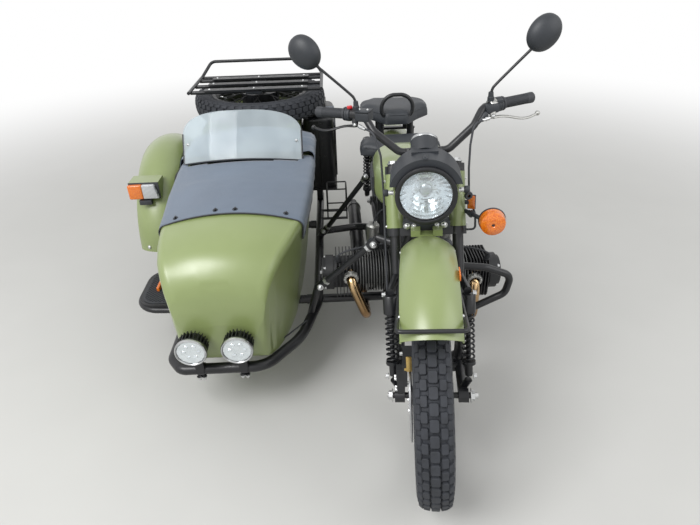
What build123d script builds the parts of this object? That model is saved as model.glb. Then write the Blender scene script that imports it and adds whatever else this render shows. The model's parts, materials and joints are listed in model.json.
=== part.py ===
"""Sidecar motorcycle: a flat-twin motorcycle with a leading-link fork and a sidecar on its right.

Lengths are in millimetres and angles in degrees. Every piece is drawn in the motorcycle's own
frame, which lies on the ground below the front axle, in the middle plane of the motorcycle:
X points to the rider's left, Y points to the rear and Z points up. PLACE then moves
everything to the middle of the whole vehicle's floor plan.
"""

import os
from math import cos, radians, sin

from build123d import *

os.makedirs("parts", exist_ok=True)

# Where the motorcycle stands on the floor plan of the whole vehicle
BIKE_X = 415
FRONT_AXLE_Y = -922
PLACE = Pos(BIKE_X, FRONT_AXLE_Y, 0)

# Wheels, all four alike in size: 4.00-19 tyres on wire wheels
TYRE_R = 346
TYRE_WIDTH = 112
TREAD_HALF = 50
SHOULDER_DROP = 14
BEAD_HALF = 36
RIM_SEAT_R = 241
RIM_FLANGE_R = 252
RIM_HALF = 40
RIM_WELL_R = 226
SPOKES = 36
SPOKE_D = 4.5
AXLE_D = 20
DRUM_R = 100
DRUM_HALF = 44
HUB_R = 48
HUB_HALF = 38
DISC_R = 148
DISC_THICK = 5
DISC_X = -67
AXLE_FIT = 0.05
SEAT_GAP = 0.3

WHEELBASE = 1500
SIDECAR_WHEEL_X = -1140
SIDECAR_WHEEL_Y = WHEELBASE - 95

# Steering: the head's axis and the turn of the bars as the vehicle stands
RAKE = 27
TRAIL = 80
STEER_AT_REST = -8.3
STEM_D = 30
HEAD_D = 56
HEAD_GAP = 1
LOWER_YOKE_S = 868
YOKE_THICK = 26
YOKE_SHIFT = 14
UPPER_YOKE_S = 1072
FORK_X = 103
FORK_TUBE_D = 36
FORK_AHEAD = 10
PIVOT_Y = 200
PIVOT_Z = 330

# Front fender
FENDER_SHEET = 2.5
FRONT_FENDER_HALF = 83
FRONT_FENDER_R = 390
FRONT_FENDER_Y = 50
FRONT_FENDER_Z = 470
FRONT_FENDER_AHEAD = 42
FRONT_FENDER_BEHIND = 40
FENDER_CROWN = 40
FENDER_SKIRT = 30

# Other fenders
REAR_FENDER_HALF = 85
REAR_FENDER_R = 430
SIDE_FENDER_HALF = 95
SIDE_FENDER_R = 440

# Frame tubes of the motorcycle
FRAME_TUBE_D = 34
BACKBONE_D = 40
CRADLE_X = 85
CRADLE_Z = 235
RAIL_X = 100
RAIL_D = 28
RAIL_Z = 745

# Flat twin: crankcase, gearbox, barrels and heads
CASE_HALF = 66
CASE_FRONT = 500
CASE_BACK = 722
CASE_BOTTOM = 258
CASE_TOP = 560
CYLINDER_Z = 440
BARREL_R = 56
FIN_R = 84
FIN_THICK = 3
FIN_PITCH = 11
BARREL_FINS = 13
HEAD_FINS = 7
HEAD_HALF_Y = 84
HEAD_HALF_Z = 88
COVER_DEPTH = 46
COVER_R = 66

# Exhaust
HEADER_D = 40
SILENCER_D = 72
SILENCER_X = 198
SILENCER_Z = 222

# Sidecar
HULL_WALL = 6
HULL_FLOOR = 290
SIDECAR_TUBE_D = 42
SIDECAR_RAIL_X = -395
OUTER_RAIL_X = -950
SIDECAR_RAIL_Z = 262
LID_HINGE_Y = 1352
COAMING_TOP = 822
LID_THICK = 6
SPARE_X = -685
SPARE_Y = 1702
RACK_Z = 990

# Lamps
HEADLAMP_Y = 196
HEADLAMP_Z = 972
LENS_R = 79
SPOT_R = 56


def steering_point(x, along, ahead):
    """A point given by its distance along the steering axis and its distance ahead of it."""
    rake = radians(RAKE)
    y = -TRAIL + along * sin(rake) - ahead * cos(rake)
    z = along * cos(rake) + ahead * sin(rake)
    return Vector(x, y, z)


STEERING_AXIS = Axis(steering_point(0, 0, 0), steering_point(0, 1, 0) - steering_point(0, 0, 0))


def steer(shape):
    """Turns a piece of the fork from straight ahead to the turn that the vehicle stands with."""
    return shape.rotate(STEERING_AXIS, STEER_AT_REST)


def rod(start, end, diameter):
    """A straight round bar from one point to another."""
    start = Vector(start)
    way = Vector(end) - start
    return Solid.make_cylinder(diameter / 2, way.length, Plane(origin=start, z_dir=way))


def pipe(points, diameter, bends):
    """A bent round tube: straight runs joined by arcs, one radius for all bends or a list."""
    path = FilletPolyline(*points, radius=bends)
    section = Plane(origin=path @ 0, z_dir=path % 0) * Circle(diameter / 2)
    return sweep(section, path=path)


def turned(outline, centre, direction=(1, 0, 0)):
    """A turned piece: an outline of (distance along the axis, radius) about an axis."""
    face = make_face(Polyline(*[(a, 0, r) for a, r in outline], close=True))
    solid = revolve(face, Axis.X)
    return Plane(origin=centre, x_dir=Vector(direction).cross(Vector(0, 0, 1)) if direction[2] == 0
                 else (1, 0, 0), z_dir=direction) * (Rot(0, -90, 0) * solid)


def block(x, y, z):
    """A box between low and high limits along each axis."""
    size = [pair[1] - pair[0] for pair in (x, y, z)]
    middle = [(pair[1] + pair[0]) / 2 for pair in (x, y, z)]
    return Pos(*middle) * Box(*size)


def write(name, *shapes):
    """Writes the solids of one node to its file."""
    solids = [solid for shape in shapes for solid in shape.solids()]
    body = Compound(solids) if len(solids) > 1 else solids[0]
    export_step(body.moved(PLACE), f"parts/{name}.step")


# Wheels

def tyre():
    """A tyre about the X axis, with a peaked crown that carries the tread."""
    side = TYRE_WIDTH / 2
    shoulder_r = TYRE_R - SHOULDER_DROP
    bead_top = RIM_FLANGE_R + 2
    bulge_r = (bead_top + shoulder_r) / 2
    half = [
        (BEAD_HALF, RIM_SEAT_R), (BEAD_HALF, bead_top), (side, bulge_r), (side - 4, shoulder_r - 8),
        (TREAD_HALF - 14, TYRE_R - 7),
    ]
    outline = half + [(0, TYRE_R)] + [(-x, r) for x, r in reversed(half)]
    return revolve(make_face(Polyline(*[(x, 0, r) for x, r in outline], close=True)), Axis.X)


def rim():
    """A drop-centre rim about the X axis."""
    half = [
        (RIM_HALF, RIM_FLANGE_R),
        (BEAD_HALF + 0.5, RIM_FLANGE_R),
        (BEAD_HALF + 0.5, RIM_SEAT_R),
    ]
    inner = [(RIM_HALF, RIM_SEAT_R - 4), (20, RIM_WELL_R), (-20, RIM_WELL_R), (-RIM_HALF, RIM_SEAT_R - 4)]
    outline = half + [(-x, r) for x, r in reversed(half)]
    points = [(x, 0, r) for x, r in outline] + [(x, 0, r) for x, r in reversed(inner)]
    return revolve(make_face(Polyline(*points, close=True)), Axis.X)


def hub(outline):
    """A hub about the X axis, from an outline of (distance along the axis, radius)."""
    bore = AXLE_D / 2 + AXLE_FIT
    points = [(outline[0][0], 0, bore)] + [(x, 0, r) for x, r in outline] + [(outline[-1][0], 0, bore)]
    return revolve(make_face(Polyline(*points, close=True)), Axis.X)


def wire_wheel(hub_solid, flange_x, flange_r):
    """Rim, hub and crossed spokes as one piece about the X axis."""
    spokes = []
    for i in range(SPOKES):
        side = 1 if i % 2 else -1
        lead = 14 if (i // 2) % 2 else -14
        at_rim = radians(360 / SPOKES * i)
        at_hub = at_rim + radians(lead)
        start = (side * flange_x, (flange_r - 3) * sin(at_hub), (flange_r - 3) * cos(at_hub))
        end = (side * 8, (RIM_WELL_R + 5) * sin(at_rim), (RIM_WELL_R + 5) * cos(at_rim))
        spokes.append(rod(start, end, SPOKE_D))
    return rim() + hub_solid + spokes


drum_hub = hub([
    (-DRUM_HALF - 10, 30), (-DRUM_HALF, 34), (-DRUM_HALF, DRUM_R), (DRUM_HALF, DRUM_R),
    (DRUM_HALF, 34), (DRUM_HALF + 10, 30),
])
disc_hub = hub([
    (-62, 30), (-HUB_HALF, 34), (-HUB_HALF, HUB_R + 12), (-HUB_HALF + 6, HUB_R + 12),
    (-HUB_HALF + 8, 34), (HUB_HALF - 8, 34), (HUB_HALF - 6, HUB_R + 12), (HUB_HALF, HUB_R + 12),
    (HUB_HALF, 34), (62, 26),
])
drum_wheel = wire_wheel(drum_hub, DRUM_HALF - 6, DRUM_R)
disc_wheel = wire_wheel(disc_hub, HUB_HALF - 3, HUB_R + 12)
wheel_tyre = tyre()

disc_ring = [(DISC_X - DISC_THICK / 2, 62), (DISC_X - DISC_THICK / 2, DISC_R),
             (DISC_X + DISC_THICK / 2, DISC_R), (DISC_X + DISC_THICK / 2, 34), (-62, 34), (-62, 31),
             (DISC_X - DISC_THICK / 2, 31)]
brake_disc = revolve(make_face(Polyline(*[(x, 0, r) for x, r in disc_ring], close=True)), Axis.X)

front_centre = Pos(0, 0, TYRE_R)
rear_centre = Pos(0, WHEELBASE, TYRE_R)
side_centre = Pos(SIDECAR_WHEEL_X, SIDECAR_WHEEL_Y, TYRE_R)
SPARE_Z = COAMING_TOP + 2 * SEAT_GAP + LID_THICK + TYRE_WIDTH / 2
spare_centre = Pos(SPARE_X, SPARE_Y, SPARE_Z) * Rot(0, 90, 0)

write("front_tyre", steer(front_centre * wheel_tyre))
write("front_wheel", steer(front_centre * disc_wheel))
write("front_brake_disc", steer(front_centre * brake_disc))
write("rear_tyre", rear_centre * wheel_tyre)
write("rear_wheel", rear_centre * drum_wheel)
write("sidecar_tyre", side_centre * wheel_tyre)
write("sidecar_wheel", side_centre * drum_wheel)
write("spare_tyre", spare_centre * wheel_tyre)
write("spare_wheel", spare_centre * drum_wheel)


# Fork

def yoke(along, thick, half, ends_r, stem_r, ahead=FORK_AHEAD):
    """A flat yoke across the fork tubes, square to the steering axis."""
    plane = Plane(origin=steering_point(0, along, 0), x_dir=(1, 0, 0), z_dir=STEERING_AXIS.direction)
    outline = Pos(0, -YOKE_SHIFT) * Rectangle(2 * half, 40)
    ends = [Pos(side * half, -ahead) * Circle(ends_r) for side in (-1, 1)]
    plan = outline + Circle(stem_r) + ends
    return extrude(plane * plan, amount=thick)


def fork_tube(side):
    """One fork tube: straight down from the upper yoke, then bent back to the arm's pivot."""
    x = side * FORK_X
    top = steering_point(x, UPPER_YOKE_S + YOKE_THICK + 8, FORK_AHEAD)
    bend = steering_point(x, 520, FORK_AHEAD)
    path = [top, bend, Vector(x, PIVOT_Y, PIVOT_Z)]
    eye = rod((x - 20, PIVOT_Y, PIVOT_Z), (x + 20, PIVOT_Y, PIVOT_Z), 50)
    lug = rod(steering_point(x, 735, FORK_AHEAD), (side * 122, 128, 672), 26)
    shock_room = rod((side * 122, 34, 402), (side * 122, 128.1, 660.3), 48 + 2 * SEAT_GAP)
    return pipe(path, FORK_TUBE_D, 90) + eye + (lug - shock_room)


brace_r = FRONT_FENDER_R + 6 + SEAT_GAP
brace_y = FRONT_FENDER_Y - brace_r * sin(radians(FRONT_FENDER_AHEAD - 3))
brace_z = FRONT_FENDER_Z + brace_r * cos(radians(FRONT_FENDER_AHEAD - 3))
brace = pipe([(91, 240, 662), (91, brace_y, brace_z), (-91, brace_y, brace_z), (-91, 240, 662)], 12, 14)
stem = rod(steering_point(0, LOWER_YOKE_S, 0), steering_point(0, UPPER_YOKE_S + YOKE_THICK + 14, 0), STEM_D)
fork = (
    yoke(LOWER_YOKE_S, YOKE_THICK, FORK_X, 29, 34)
    + yoke(UPPER_YOKE_S, YOKE_THICK, FORK_X, 27, 32)
    + stem
    + fork_tube(1)
    + fork_tube(-1)
    + brace
)
write("fork", steer(fork))

EAR_X = 92.3
EAR_BOLT_Y = 228
BOWL_R = 87
ears = []
for side in (-1, 1):
    x = side * FORK_X
    low = steering_point(x, LOWER_YOKE_S + YOKE_THICK + SEAT_GAP, FORK_AHEAD)
    high = steering_point(x, UPPER_YOKE_S - SEAT_GAP, FORK_AHEAD)
    sleeve = rod(low, high, 56) - rod(low, high, FORK_TUBE_D + 2 * SEAT_GAP)
    plate = block(sorted((side * EAR_X, side * (EAR_X + 5))), (214, 372), (HEADLAMP_Z - 34, HEADLAMP_Z + 28))
    bolt_from, bolt_to = [(side * far, EAR_BOLT_Y, HEADLAMP_Z) for far in (BOWL_R + SEAT_GAP, EAR_X)]
    boss = rod(bolt_from, bolt_to, 14)
    sleeve = sleeve + (plate + boss - rod(low, high, 50))
    ears.append(sleeve)
write("lamp_ears", *[steer(ear) for ear in ears])

arms = []
for side in (-1, 1):
    x = side * FORK_X
    arm = rod((x, PIVOT_Y - 36, PIVOT_Z + 2), (x, 0, TYRE_R), 34)
    arm = arm + rod((x - 16, 0, TYRE_R), (x + 16, 0, TYRE_R), 46)
    arm = arm + rod((x, 34, TYRE_R), (side * 122, 30, 388), 24)
    inner = x - 26.3, x - 20.3
    outer = x + 20.3, x + 26.3
    for low, high in (inner, outer):
        cheek = rod((low, PIVOT_Y, PIVOT_Z), (high, PIVOT_Y, PIVOT_Z), 44)
        arm = arm + cheek + block((low, high), (PIVOT_Y - 62, PIVOT_Y), (PIVOT_Z - 10, PIVOT_Z + 12))
    arm = arm + rod((x - 26, PIVOT_Y - 50, PIVOT_Z + 3), (x + 26, PIVOT_Y - 50, PIVOT_Z + 3), 34)
    arms.append(arm)
axle = rod((-132, 0, TYRE_R), (137, 0, TYRE_R), AXLE_D)
leading_arms = arms[0] + arms[1] + axle
leading_arms = leading_arms - [rod((s * FORK_X - 21, PIVOT_Y, PIVOT_Z), (s * FORK_X + 21, PIVOT_Y, PIVOT_Z),
                                   50.6) for s in (-1, 1)]
write("leading_arms", steer(leading_arms))


def shock(low, high, body_d, spring_d, turns, wire):
    """A damper with its open coil: a body, two seats and rings for the turns of the spring."""
    low, high = Vector(low), Vector(high)
    way = (high - low).normalized()
    length = (high - low).length
    solid = rod(low, high, body_d)
    solid = solid + rod(low + way * 40, low + way * 52, spring_d)
    solid = solid + rod(high - way * 62, high, spring_d + 4)
    span = length - 62 - 52
    pitch = span / turns
    for i in range(turns):
        at = low + way * (52 + pitch * (i + 0.5) - wire / 2)
        solid = solid + rod(at, at + way * wire, spring_d)
    return solid


front_shocks = []
for side in (-1, 1):
    x = side * 122
    front_shocks.append(shock((x, 34, 402), (x, 128, 660), 26, 44, 8, 8))
write("front_shocks", *[steer(s) for s in front_shocks])


def fender_face(half, radius):
    """The cross-section of a fender, in the plane of X and the radius, with its sheet's thickness."""
    outer_side = radius - FENDER_CROWN
    low = outer_side - FENDER_SKIRT
    inner_half = half - FENDER_SHEET
    outline = [
        Line((-half, 0, low), (-half, 0, outer_side)),
        ThreePointArc((-half, 0, outer_side), (0, 0, radius), (half, 0, outer_side)),
        Line((half, 0, outer_side), (half, 0, low)),
        Line((half, 0, low), (inner_half, 0, low)),
        Line((inner_half, 0, low), (inner_half, 0, outer_side)),
        ThreePointArc((inner_half, 0, outer_side), (0, 0, radius - FENDER_SHEET),
                      (-inner_half, 0, outer_side)),
        Line((-inner_half, 0, outer_side), (-inner_half, 0, low)),
        Line((-inner_half, 0, low), (-half, 0, low)),
    ]
    return make_face(outline)


def fender(half, radius, ahead, behind, centre):
    """A fender about the X axis through a centre, from an angle ahead of the top to one behind it."""
    start = Rot(ahead, 0, 0) * fender_face(half, radius)
    shell = revolve(start, Axis.X, -(ahead + behind))
    return Pos(*centre) * shell


fender_centre = (0, FRONT_FENDER_Y, FRONT_FENDER_Z)
front_fender = fender(FRONT_FENDER_HALF, FRONT_FENDER_R, FRONT_FENDER_AHEAD, FRONT_FENDER_BEHIND,
                      fender_centre)
neck = block((-50, 50), (232, 262), (790, 834)) - block((-20, 20), (220, 270), (818, 840))
neck = neck - rod((-100, FRONT_FENDER_Y, FRONT_FENDER_Z), (100, FRONT_FENDER_Y, FRONT_FENDER_Z),
                  2 * FRONT_FENDER_R - 4)
neck = neck - yoke(LOWER_YOKE_S, YOKE_THICK, FORK_X, 29, 34)
write("front_fender", steer(front_fender + neck))

headlamp_bowl = turned(
    [(0, 92), (20, 92), (22, 88), (60, 84), (110, 66), (140, 34), (144, 0), (140, 0), (136, 32),
     (107, 62), (58, 80), (20, 84), (12, 84), (12, 80), (0, 80)],
    (0, HEADLAMP_Y - 8, HEADLAMP_Z), (0, 1, 0))
write("headlamp", steer(headlamp_bowl))
headlamp_lens = turned([(-6, 0), (-3, 40), (6, LENS_R), (11, LENS_R), (2, 40), (-1, 0)],
                       (0, HEADLAMP_Y - 8, HEADLAMP_Z), (0, 1, 0))
write("headlamp_lens", steer(headlamp_lens))

COWL_INNER = 92.3
COWL_OUTER = 112
cowl_section = make_face([
    Line((COWL_INNER, 0, 0), (COWL_OUTER, 0, 0)),
    ThreePointArc((COWL_OUTER, 0, 0), (0, 0, COWL_OUTER), (-COWL_OUTER, 0, 0)),
    Line((-COWL_OUTER, 0, 0), (-COWL_INNER, 0, 0)),
    ThreePointArc((-COWL_INNER, 0, 0), (0, 0, COWL_INNER), (COWL_INNER, 0, 0)),
])
cowl = extrude(Pos(0, 200, HEADLAMP_Z) * cowl_section, amount=110, dir=(0, 1, 0))
cowl = cowl - block((-130, 130), (190, 330), (900, HEADLAMP_Z + 30))
gauge = rod((0, 306, 1056), (0, 346, 1086), 84)
write("instrument_cowl", steer(cowl + gauge + block((-40, 40), (256, 322), (1070, 1086))))

BAR_D = 25.4
grip_end = Vector(357, 564, 1138)
grip_start = Vector(194, 490.5, 1138)
bar_half = [(0, 424, 1026), (78, 424, 1026), (162, 452, 1092), grip_start, grip_end]
bar_side = [tuple(point) for point in bar_half[1:]]
bar_points = [(-x, y, z) for x, y, z in reversed(bar_side)] + bar_side
handlebar = pipe(bar_points, BAR_D, [40, 40, 40, 40, 40, 40])
risers = [rod(steering_point(s * 48, UPPER_YOKE_S + YOKE_THICK, 17), steering_point(s * 48, 1150, 17), 34)
          for s in (-1, 1)]
write("handlebar", steer(handlebar + risers))


def grip(side):
    """A hand grip over the end of the bar, with its switch housing and lever."""
    bar = [Vector(side * p.X, p.Y, p.Z) for p in (grip_start, grip_end)]
    way = (bar[1] - bar[0]).normalized()
    sleeve = rod(bar[1] - way * 112, bar[1] + way * 6, 34)
    housing = rod(bar[1] - way * 133, bar[1] - way * 113, 46)
    perch_at = bar[1] - way * 146
    ahead = Vector(0, -cos(radians(42)), -sin(radians(42)))
    perch = rod(perch_at - way * 12, perch_at + way * 12, 40) + rod(perch_at, perch_at + ahead * 44, 24)
    pivot = perch_at + ahead * 44
    tip = bar[1] + way * 18 + ahead * 62
    lever = rod(pivot, tip, 13) + Pos(*tip) * Sphere(9)
    core = rod(bar[0] - way * 60, bar[1] + way * SEAT_GAP, BAR_D + 2 * SEAT_GAP)
    if side < 0:
        perch = perch + Pos(*(perch_at - way * 34 + ahead * 4)) * (Rot(0, 0, side * 24) * Box(48, 38, 34))
    return [sleeve - core, housing - core, (perch + lever) - core - handlebar]


hand_controls = []
for side in (-1, 1):
    for piece in grip(side):
        hand_controls.append(steer(piece))
grips = [hand_controls[0], hand_controls[3]]
controls = [hand_controls[1], hand_controls[4]]
levers = [hand_controls[2], hand_controls[5]]
write("grips", *grips)
write("hand_controls", *controls, *levers)

MIRROR_DOME = [(0, 0), (0, 50), (5, 54), (14, 53), (28, 43), (38, 25), (42, 0)]
mirrors = []
for side in (-1, 1):
    foot = Vector(side * 218, 500, 1158.3)
    knee_point = Vector(side * 222, 500, 1196)
    head = Vector(side * 352, 508, 1318)
    stem_pipe = pipe([foot, knee_point, head], 9, 30)
    shell = Pos(side * 366, 524, 1342) * Rot(0, 0, side * 14) * turned(MIRROR_DOME, (0, 0, 0), (0, -1, 0))
    mirrors.append(stem_pipe + shell)
write("mirrors", *[steer(m) for m in mirrors])

sleeve_room = rod(steering_point(FORK_X, 880, FORK_AHEAD), steering_point(FORK_X, 1060, FORK_AHEAD),
                  56 + 2 * SEAT_GAP)
signal = rod((120, 338, 850), (188, 256, 846), 14) - sleeve_room
signal_lens = turned([(-20, 0), (-20, 26), (-6, 40), (12, 40), (22, 26), (24, 0)], (205, 246, 846), (0, 1, 0))
write("front_signal", steer(signal + signal_lens))

CALIPER_LOW = TYRE_R + 84
CALIPER_HIGH = TYRE_R + DISC_R + 26
caliper = block((-88, -48), (-46, 46), (CALIPER_LOW, CALIPER_HIGH))
caliper = caliper - block((DISC_X - 8, DISC_X + 8), (-60, 60), (CALIPER_LOW - 50, TYRE_R + DISC_R + 6))
caliper = caliper + block((-110, -86), (-14, 14), (TYRE_R + 20, TYRE_R + 124))
caliper = caliper - rod((-120, 0, TYRE_R), (0, 0, TYRE_R), 46.6)
write("front_caliper", steer(caliper))

hose = pipe([(-206, 452, 1112), (-160, 416, 1100), (-140, 392, 1030), steering_point(-137, 1010, 12),
             steering_point(-137, 700, 8),
             (-137, 118, 505), (-96, 110, 480), (-78, 46.3, 476)], 7, [40, 50, 120, 150, 14, 30])
write("brake_hose", steer(hose))
cable = pipe([(206, 452, 1112), (158, 412, 1110), (146, 392, 1050), (141, 372, 980), (141, 350, 900),
              (160, 322, 836),
              (160, 311, 789.5), (132.4, 311, 789.5)], 7, [30, 60, 120, 80, 60, 12])
write("clutch_cable", steer(cable))


# Motorcycle frame

# Struts between the sidecar and the motorcycle
STRUTS = [
    # sidecar end, motorcycle end
    ((-387, 530, 430), (-150, 480, 668)),
    ((-372, 1178, 330), (-142, 1022, 712)),
]
STRUT_END_D = 34
struts = []
strut_room = []
for low, high in STRUTS:
    low, high = Vector(low), Vector(high)
    way = (high - low).normalized()
    struts.append(rod(low, high, 24) + rod(low, low + way * 46, STRUT_END_D)
                  + rod(high - way * 46, high, STRUT_END_D))
    strut_room.append(rod(low - way * SEAT_GAP, high + way * SEAT_GAP, STRUT_END_D + 2 * SEAT_GAP))


def frame_side(side):
    """One side of the double cradle: down from the head, under the engine and up to the seat rail."""
    x = side * CRADLE_X
    near = side * 16
    cradle = pipe(
        [steering_point(near, 960, 0), (side * 60, 430, 640), (x, 472, 420), (x, 520, CRADLE_Z),
         (x, 1010, CRADLE_Z), (x, 1062, 480), (side * RAIL_X, 1010, RAIL_Z)],
        FRAME_TUBE_D, [200, 120, 90, 90, 120])
    rail = pipe([(side * 26, 940, 716), (side * RAIL_X, 1010, RAIL_Z),
                 (side * RAIL_X, WHEELBASE - 30, RAIL_Z)], RAIL_D, 40)
    stay = pipe([(x, 1052, 430), (side * (RAIL_X + 6), 1190, 590), (side * RAIL_X, 1330, RAIL_Z)], RAIL_D,
                120)
    return cradle + rail + stay


head_low = LOWER_YOKE_S + YOKE_THICK + HEAD_GAP
head_high = UPPER_YOKE_S - HEAD_GAP
head_tube = rod(steering_point(0, head_low, 0), steering_point(0, head_high, 0), HEAD_D)
head_bore = rod(steering_point(0, head_low - 5, 0), steering_point(0, head_high + 5, 0),
                STEM_D + 2 * AXLE_FIT)
backbone = pipe([steering_point(0, 1010, 0), (0, 500, 812), (0, 962, 712)], BACKBONE_D, 120)
crossbar = [rod((-RAIL_X, y, RAIL_Z), (RAIL_X, y, RAIL_Z), 24) for y in (1010,)]
lower_cross = [rod((-CRADLE_X, y, CRADLE_Z), (CRADLE_X, y, CRADLE_Z), 28) for y in (600, 960)]
main_frame = head_tube + backbone + frame_side(1) + frame_side(-1) + crossbar + lower_cross
pivot_bar = rod((-CRADLE_X - 68, 1040, 330), (CRADLE_X + 20, 1040, 330), 36)
main_frame = main_frame + pivot_bar
STAND_Y = 962
STAND_Z = 196
STAND_X = 122
STAND_REACH = 176
lugs = [rod((a, STAND_Y, STAND_Z), (b, STAND_Y, STAND_Z), 46)
        + block((a, b), (STAND_Y - 18, STAND_Y + 14), (STAND_Z, CRADLE_Z))
        for a, b in ((-62, -48), (48, 62))]
stand_bar = rod((-STAND_X, STAND_Y, STAND_Z), (STAND_X, STAND_Y, STAND_Z), 28)
stand_legs = [rod((s * (STAND_X - 14), STAND_Y, STAND_Z),
                  (s * (STAND_X + 10), STAND_Y + STAND_REACH - 4, STAND_Z - 16), 24)
              for s in (-1, 1)]
stand_brace = rod((-STAND_X, STAND_Y + 90, STAND_Z - 8), (STAND_X, STAND_Y + 90, STAND_Z - 8), 20)
centre_stand = stand_bar + stand_legs + stand_brace
stand_bore = rod((-200, STAND_Y, STAND_Z), (200, STAND_Y, STAND_Z), 28 + 2 * AXLE_FIT)
carrier = []
for y in (WHEELBASE - 238, WHEELBASE - 80):
    beam = block((-112, 112), (y, y + 24), (RAIL_Z + 32.3, RAIL_Z + 44))
    feet = [block((a, b), (y, y + 24), (RAIL_Z, RAIL_Z + 40)) for a, b in ((-112, -88), (88, 112))]
    posts = [rod((x, y + 12, RAIL_Z + 40), (x, y + 12, 867.7), 30) for x in (-70, 70)]
    carrier = carrier + [beam] + feet + posts
pan = block((-96, 96), (1106, 1134), (RAIL_Z - 8, RAIL_Z + 8))
springs = [rod((x, 1120, RAIL_Z), (x, 1120, 785.7), 44) for x in (-70, 70)]
pegs = []
for side in (-1, 1):
    start, elbow = (side * CRADLE_X, 830, CRADLE_Z), (side * 178, 830, 262)
    pegs = pegs + [rod(start, elbow, 18), rod(elbow, (side * 285, 830, 262), 34)]
strut_lugs = [rod((-58, 436, 662), (-152, 484, 676), 30), rod((-98, 1018, 706), (-146, 1026, 718), 30)]
tabs = [block((a, b), (WHEELBASE - 75, WHEELBASE - 45), (708, RAIL_Z))
        for a, b in ((-100, -REAR_FENDER_HALF - SEAT_GAP), (REAR_FENDER_HALF + SEAT_GAP, 100))]
tank_rests = [block((-31.7, 31.7), (y - 14, y + 14), (z, z + 26)) for y, z in ((560, 799), (860, 734))]
main_frame = main_frame + lugs + carrier + pan + springs + pegs + strut_lugs + tabs + tank_rests
main_frame = main_frame - head_bore - stand_bore - strut_room
write("main_frame", main_frame)


# Engine

case = block((-CASE_HALF, CASE_HALF), (CASE_FRONT + 12, CASE_BACK), (CASE_BOTTOM, CASE_TOP))
case = chamfer(case.edges().filter_by(Axis.Y), 26)
front_cover = rod((0, CASE_FRONT - 14, CYLINDER_Z + 6), (0, CASE_FRONT + 14, CYLINDER_Z + 6), 124)
gearbox = block((-62, 62), (CASE_BACK, 905), (CRADLE_Z + 48, 520))
gearbox = chamfer(gearbox.edges().filter_by(Axis.Y), 22)
engine_case = case + front_cover + gearbox
CYLINDERS = {-1: (628, -368), 1: (594, 352)}


def cylinder(side):
    """A finned barrel, head and rocker cover, pointing outwards from the crankcase."""
    y, outer = CYLINDERS[side]

    def at(x):
        return (side * x, y, CYLINDER_Z)

    reach = abs(outer)
    head_start = CASE_HALF + 14 + BARREL_FINS * FIN_PITCH
    solid = rod(at(CASE_HALF), at(head_start + 4), 2 * BARREL_R)
    for i in range(BARREL_FINS):
        x = CASE_HALF + 14 + i * FIN_PITCH
        solid = solid + rod(at(x), at(x + FIN_THICK), 2 * FIN_R)
    cover_start = reach - COVER_DEPTH
    solid = solid + rod(at(head_start), at(cover_start), 2 * BARREL_R + 20)
    pitch = (cover_start - head_start) / HEAD_FINS
    for i in range(HEAD_FINS):
        x = head_start + i * pitch
        fin = Plane(origin=at(x), x_dir=(0, 1, 0), z_dir=(side, 0, 0)) * RectangleRounded(
            2 * HEAD_HALF_Y, 2 * HEAD_HALF_Z, 40)
        solid = solid + extrude(fin, amount=FIN_THICK + 1)
    solid = solid + rod(at(cover_start), at(reach - 14), 2 * COVER_R + 12)
    solid = solid + rod(at(reach - 14), at(reach), 2 * COVER_R - 10)
    return solid


cylinders = [cylinder(side) for side in (-1, 1)]
write("engine_case", engine_case)
PORTS = {-1: (252, 463), 1: (238, 452)}
header_holes = []
headers = []
for side in (-1, 1):
    y = CYLINDERS[side][0]
    x, z = PORTS[side]
    drop_x = 190 if side < 0 else 246
    path = [(side * x, y - 50, z), (side * x, y - 106, z - 8), (side * drop_x, y - 88, 268),
            (side * drop_x, y + 60, 226), (side * SILENCER_X, 930, SILENCER_Z),
            (side * SILENCER_X, 1000, SILENCER_Z)]
    headers.append(pipe(path, HEADER_D, [40, 60, 120, 120]))
    header_holes.append(rod((side * x, y - 50, z), (side * x, y - 130, z - 12), HEADER_D + 0.6))
barrels = [c - h - g for c, h, g in zip(cylinders, header_holes, headers)]
write("cylinders", *barrels)
write("exhaust_headers", *headers)

silencers = []
for side in (-1, 1):
    x = side * SILENCER_X
    body = rod((x, 1030, SILENCER_Z), (x, 1640, SILENCER_Z + 22), SILENCER_D)
    tip = rod((x, 1640, SILENCER_Z + 22), (x, 1700, SILENCER_Z + 25), 34)
    neck = rod((x, 1000.3, SILENCER_Z), (x, 1032, SILENCER_Z), 46)
    silencers.append(body + tip + neck)
write("silencers", *silencers)

carburettors = []
for side in (-1, 1):
    y = CYLINDERS[side][0]
    x = side * 150
    body = rod((x, y + 60, 520), (x, y + 150, 560), 44) + rod((x, y + 100, 470), (x, y + 100, 600), 52)
    carburettors.append(body - cylinders[0 if side < 0 else 1])
write("carburettors", *carburettors)


# Tank and saddles

def tank_section(y, half, low, high, round_r):
    """A rounded cross-section of the tank, square to the Y axis."""
    plane = Plane(origin=(0, y, (low + high) / 2), x_dir=(1, 0, 0), z_dir=(0, 1, 0))
    return plane * RectangleRounded(2 * half, high - low, round_r)


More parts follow.
